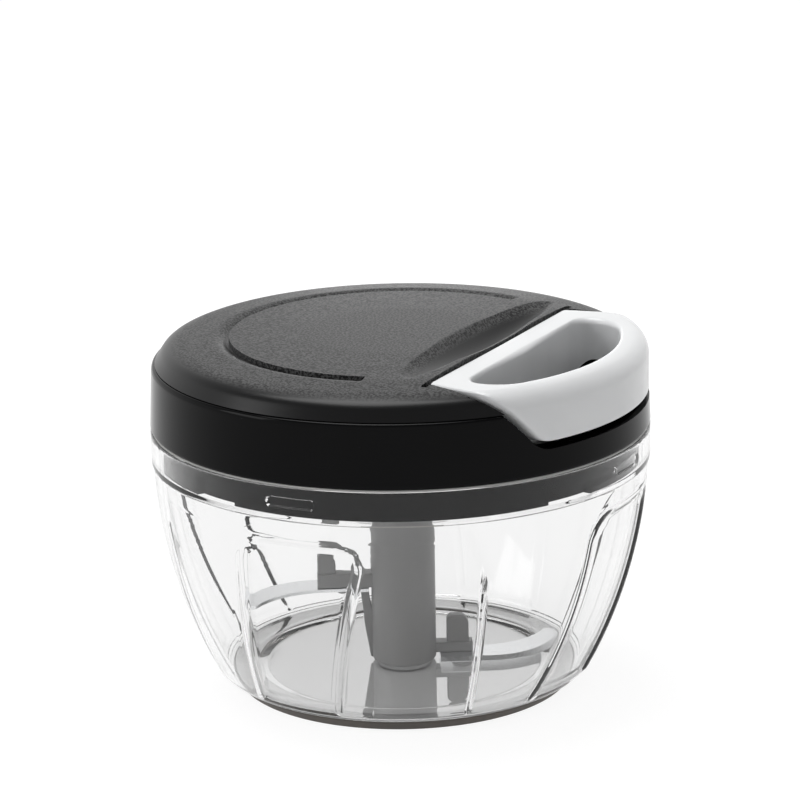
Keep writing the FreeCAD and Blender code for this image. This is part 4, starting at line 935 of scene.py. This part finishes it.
def make_handle():
    """Sections round the finger hole, each a closed line: up the outside, in over the top,
    down the hole and out under the foot. Every edge is rounded. What would lie between the
    outside and the hole where the hole is the wider one is trimmed away, so the foot is open."""
    turn = np.radians(ring_angles(560))[:, None]
    edge, hole_edge = 0.6, 1.5
    arc = np.linspace(0, math.pi / 2, 5)
    z = np.concatenate([
        HANDLE_LOW + edge * (1 - np.cos(arc)),
        np.linspace(HANDLE_LOW + edge, FRONT_BEND_Z, 20)[1:-1],
        FRONT_BEND_Z + FRONT_BEND * np.sin(np.linspace(0, 1.2, 14)),
        HANDLE_TOP - edge * (1 - np.sin(np.linspace(0.9, math.pi / 2, 5))),
    ])
    z = np.unique(np.clip(z, HANDLE_LOW, HANDLE_TOP))[None]

    def rounding(z, top_edge):
        upper = np.clip((z - (HANDLE_TOP - top_edge)) / top_edge, 0, 1)
        lower = np.clip((HANDLE_LOW + edge - z) / edge, 0, 1)
        return top_edge * (1 - np.sqrt(1 - upper ** 2)) + edge * (1 - np.sqrt(1 - lower ** 2))

    def outer_way(turn, z):
        return handle_way(turn, z) - rounding(z, edge)

    def inner_way(turn, z):
        draft = HOLE_INSET * np.clip((z - HANDLE_LOW) / (HANDLE_TOP - HANDLE_LOW), 0, 1)
        return hole_way(turn) - draft + rounding(z, hole_edge)

    def kept(p):
        turn = np.arctan2(p[:, 1], p[:, 0] - HANDLE_MIDDLE)
        return outer_way(turn, p[:, 2]) - inner_way(turn, p[:, 2])

    way = outer_way(turn, z)
    inner = np.concatenate([
        HANDLE_TOP - hole_edge * (1 - np.cos(np.linspace(0, math.pi / 2, 9))),
        np.linspace(HANDLE_TOP - hole_edge, HANDLE_LOW + edge, 18)[1:-1],
        HANDLE_LOW + edge * (1 - np.cos(arc))[::-1],
    ])[None]
    hole_rows = inner_way(turn, inner)
    across = np.linspace(0, 1, 10)[1:-1][None]
    top = way[:, -1:] + (hole_rows[:, :1] - way[:, -1:]) * across
    under = hole_rows[:, -1:] + (way[:, :1] - hole_rows[:, -1:]) * across
    ways = np.concatenate([way, top, hole_rows, under], 1)
    level = 0 * across
    heights = np.concatenate([z, level + HANDLE_TOP, inner, level + HANDLE_LOW], 1)
    points = spread(HANDLE_MIDDLE + ways * np.cos(turn), ways * np.sin(turn), heights)
    piece(
        "handle_grip", [trimmed(*grid(points, True, True), kept)], "handle", ["pull_handle"],
        WHITE, sharp=38.0,
    )


# Cord

def make_cord():
    """A tube along the cord's route: four rising turns on the drum, a level run to the guide,
    a bend of 4.8 mm and a straight run to the knot. Its section is a circle across the route."""
    left = CORD_TURNS * (1 - np.linspace(0, 1, 96 * CORD_TURNS + 1))
    angle = math.degrees(math.acos(CORD_PLACE / CORD_CORNER)) + 360 * left
    # The last quarter of a turn flattens out to leave the drum level
    drop = CORD_PITCH * np.where(left > 0.25, left - 0.125, 2 * left ** 2)
    winding = polar(CORD_PLACE, angle, CORD_Z - drop)
    off = winding[-1]
    corner = np.array([CORD_CORNER, 0, CORD_Z])
    along = (corner - off) / np.linalg.norm(corner - off)
    turn = math.acos(along[0])
    setback = CORD_BEND * math.tan(turn / 2)
    start = corner - along * setback
    sweep = np.linspace(-turn, 0, 12)[:, None]
    centre = np.array([CORD_CORNER + setback, CORD_BEND, CORD_Z])
    arc = centre + CORD_BEND * np.hstack([np.sin(sweep), -np.cos(sweep), 0 * sweep])
    run = off + (start - off) * np.linspace(0, 1, 12)[1:-1, None]
    last = spread(np.linspace(arc[-1][0], CORD_END, 14)[1:], *arc[-1][1:])
    route = np.concatenate([winding, run, arc, last])
    tangent = np.gradient(route, axis=0)
    tangent /= np.linalg.norm(tangent, axis=1)[:, None]
    side = np.cross(tangent, (0, 0, 1.0))
    side /= np.linalg.norm(side, axis=1)[:, None]
    up = np.cross(side, tangent)
    around = np.radians(np.arange(0, 360, 30.0))[:, None]
    section = side[:, None] * np.cos(around) + up[:, None] * np.sin(around)
    points = route[:, None] + CORD_RADIUS * section
    ring = list(range(12))
    patches = [grid(points, False, True), (points[0], [ring[::-1]]), (points[-1], [ring])]
    cord = piece("drawn_cord", patches, None, ["pull_cord"], NYLON)
    mesh = cord.data
    layer = mesh.uv_layers.new(name="along")
    where = np.empty(len(mesh.vertices) * 3)
    mesh.vertices.foreach_get("co", where)
    where = where.reshape(-1, 3) / MM
    nearest = np.concatenate([
        np.argmin(((where[k:k + 500, None] - route) ** 2).sum(-1), 1)
        for k in range(0, len(where), 500)
    ])
    arm = where - route[nearest]
    round_it = np.arctan2((arm * up[nearest]).sum(1), (arm * side[nearest]).sum(1))
    length = np.concatenate([[0], np.cumsum(np.linalg.norm(np.diff(route, axis=0), axis=1))])
    uv = np.column_stack([round_it / (2 * math.pi) * 4.0, length[nearest]])
    corners = np.empty(len(mesh.loops), int)
    mesh.loops.foreach_get("vertex_index", corners)
    layer.data.foreach_set("uv", uv[corners].ravel())
    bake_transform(cord)


make_bowl()
make_base_ring()
make_blade_shaft()
make_blade("lower_sickle", "lower_blade", LOWER_BLADE, BLADE_TURN)
make_blade("upper_sickle", "upper_blade", UPPER_BLADE, BLADE_TURN + 180)
make_cover()
make_band()
make_seal()
make_handle()
make_cord()

# CAD nodes that keep their own meshes
for names, material in (
    (("bowl_pin", "plate_screws", "cover_screws", "hub_screw", "hub_washer", "spring_cap"), BRIGHT),
    (("recoil_spring",), SPRING),
    (("cord_reel", "drive_hub", "clutch_pawl_left", "clutch_pawl_right"), ACETAL),
    (("underside_plate",), GREY),
    (("cord_guide",), BRASS),
    (("cord_knot",), NYLON),
):
    for name in names:
        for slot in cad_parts[name].material_slots:
            slot.material = material


# Floor, world and lamps

def seen_rays(tree):
    """1 for camera, glossy and transmission rays, so that gloss and clear plastic see the
    same pale surroundings as the camera does."""
    paths = add(tree, "ShaderNodeLightPath").outputs
    first = add(tree, "ShaderNodeMath", {
        0: paths["Is Camera Ray"], 1: paths["Is Glossy Ray"],
    }, operation="MAXIMUM")
    return add(tree, "ShaderNodeMath", {
        0: first.outputs[0], 1: paths["Is Transmission Ray"],
    }, operation="MAXIMUM").outputs[0]


def make_floor():
    """A wide pale floor 0.05 mm under the object."""
    mesh = bpy.data.meshes.new("floor")
    reach, low = 6.0, -5e-5
    mesh.from_pydata(
        [(-reach, -reach, low), (reach, -reach, low), (reach, reach, low), (-reach, reach, low)],
        [], [(0, 1, 2, 3)],
    )
    floor = bpy.data.objects.new("floor", mesh)
    bpy.context.collection.objects.link(floor)
    material, tree, surface = shader(
        "floor_paper", Base_Color=linear("#E6E6E6"), Roughness=1.0, Specular_IOR_Level=0.0,
    )
    # Three quarters of what is seen is plain white, and a quarter keeps the object's shadow
    glow = add(tree, "ShaderNodeEmission", {"Color": (1, 1, 1, 1), "Strength": 1.2})
    share = add(tree, "ShaderNodeMath", {0: seen_rays(tree), 1: 0.75}, operation="MULTIPLY")
    lit = add(tree, "ShaderNodeMixShader", {
        "Fac": share.outputs[0], 1: surface.outputs[0], 2: glow.outputs[0],
    })
    tree.links.new(lit.outputs[0], tree.nodes["Material Output"].inputs["Surface"])
    mesh.materials.append(material)


def make_world():
    """Even soft light. What the camera, gloss and clear plastic see is white up to 20 degrees
    above the floor and fades to grey at 49 degrees, as under a studio's ceiling."""
    world = bpy.data.worlds.new("studio")
    bpy.context.scene.world = world
    world.use_nodes = True
    tree = world.node_tree
    soft = add(tree, "ShaderNodeBackground", {"Color": (1, 1, 1, 1), "Strength": 0.4})
    direction = add(tree, "ShaderNodeTexCoord").outputs["Generated"]
    rise = add(tree, "ShaderNodeSeparateXYZ", {"Vector": direction}).outputs["Z"]
    fade = add(tree, "ShaderNodeMapRange", {
        "Value": rise, "From Min": 0.35, "From Max": 0.75, "To Min": 1.0, "To Max": 0.3,
    })
    white = add(tree, "ShaderNodeBackground", {
        "Color": (1, 1, 1, 1), "Strength": fade.outputs["Result"],
    })
    mix = add(tree, "ShaderNodeMixShader", {
        "Fac": seen_rays(tree), 1: soft.outputs[0], 2: white.outputs[0],
    })
    tree.links.new(mix.outputs[0], tree.nodes["World Output"].inputs["Surface"])


def lamp(name, place, aim, size, watts, hidden=False):
    """A square soft lamp at a place, turned towards an aim. A hidden one shows in gloss, but
    neither to the camera nor through the clear bowl."""
    light = bpy.data.lights.new(name, "AREA")
    light.shape, light.size, light.energy = "SQUARE", size, watts
    thing = bpy.data.objects.new(name, light)
    bpy.context.collection.objects.link(thing)
    thing.visible_camera = thing.visible_transmission = not hidden
    way = Vector(aim) - Vector(place)
    thing.matrix_world = Matrix.Translation(place) @ way.to_track_quat("-Z", "Y").to_matrix().to_4x4()


make_floor()
make_world()
lamp("overhead", (-0.2, 0.1, 1.0), (0, 0, 0.05), 0.6, 6.0)
lamp("left", (-0.8, -0.7, 0.6), (0, 0, 0.05), 0.5, 2.5)
lamp("behind", (-0.2, 0.42, 0.075), (0, 0, 0.09), 0.12, 0.12, hidden=True)

bpy.context.scene.view_settings.view_transform = "Standard"
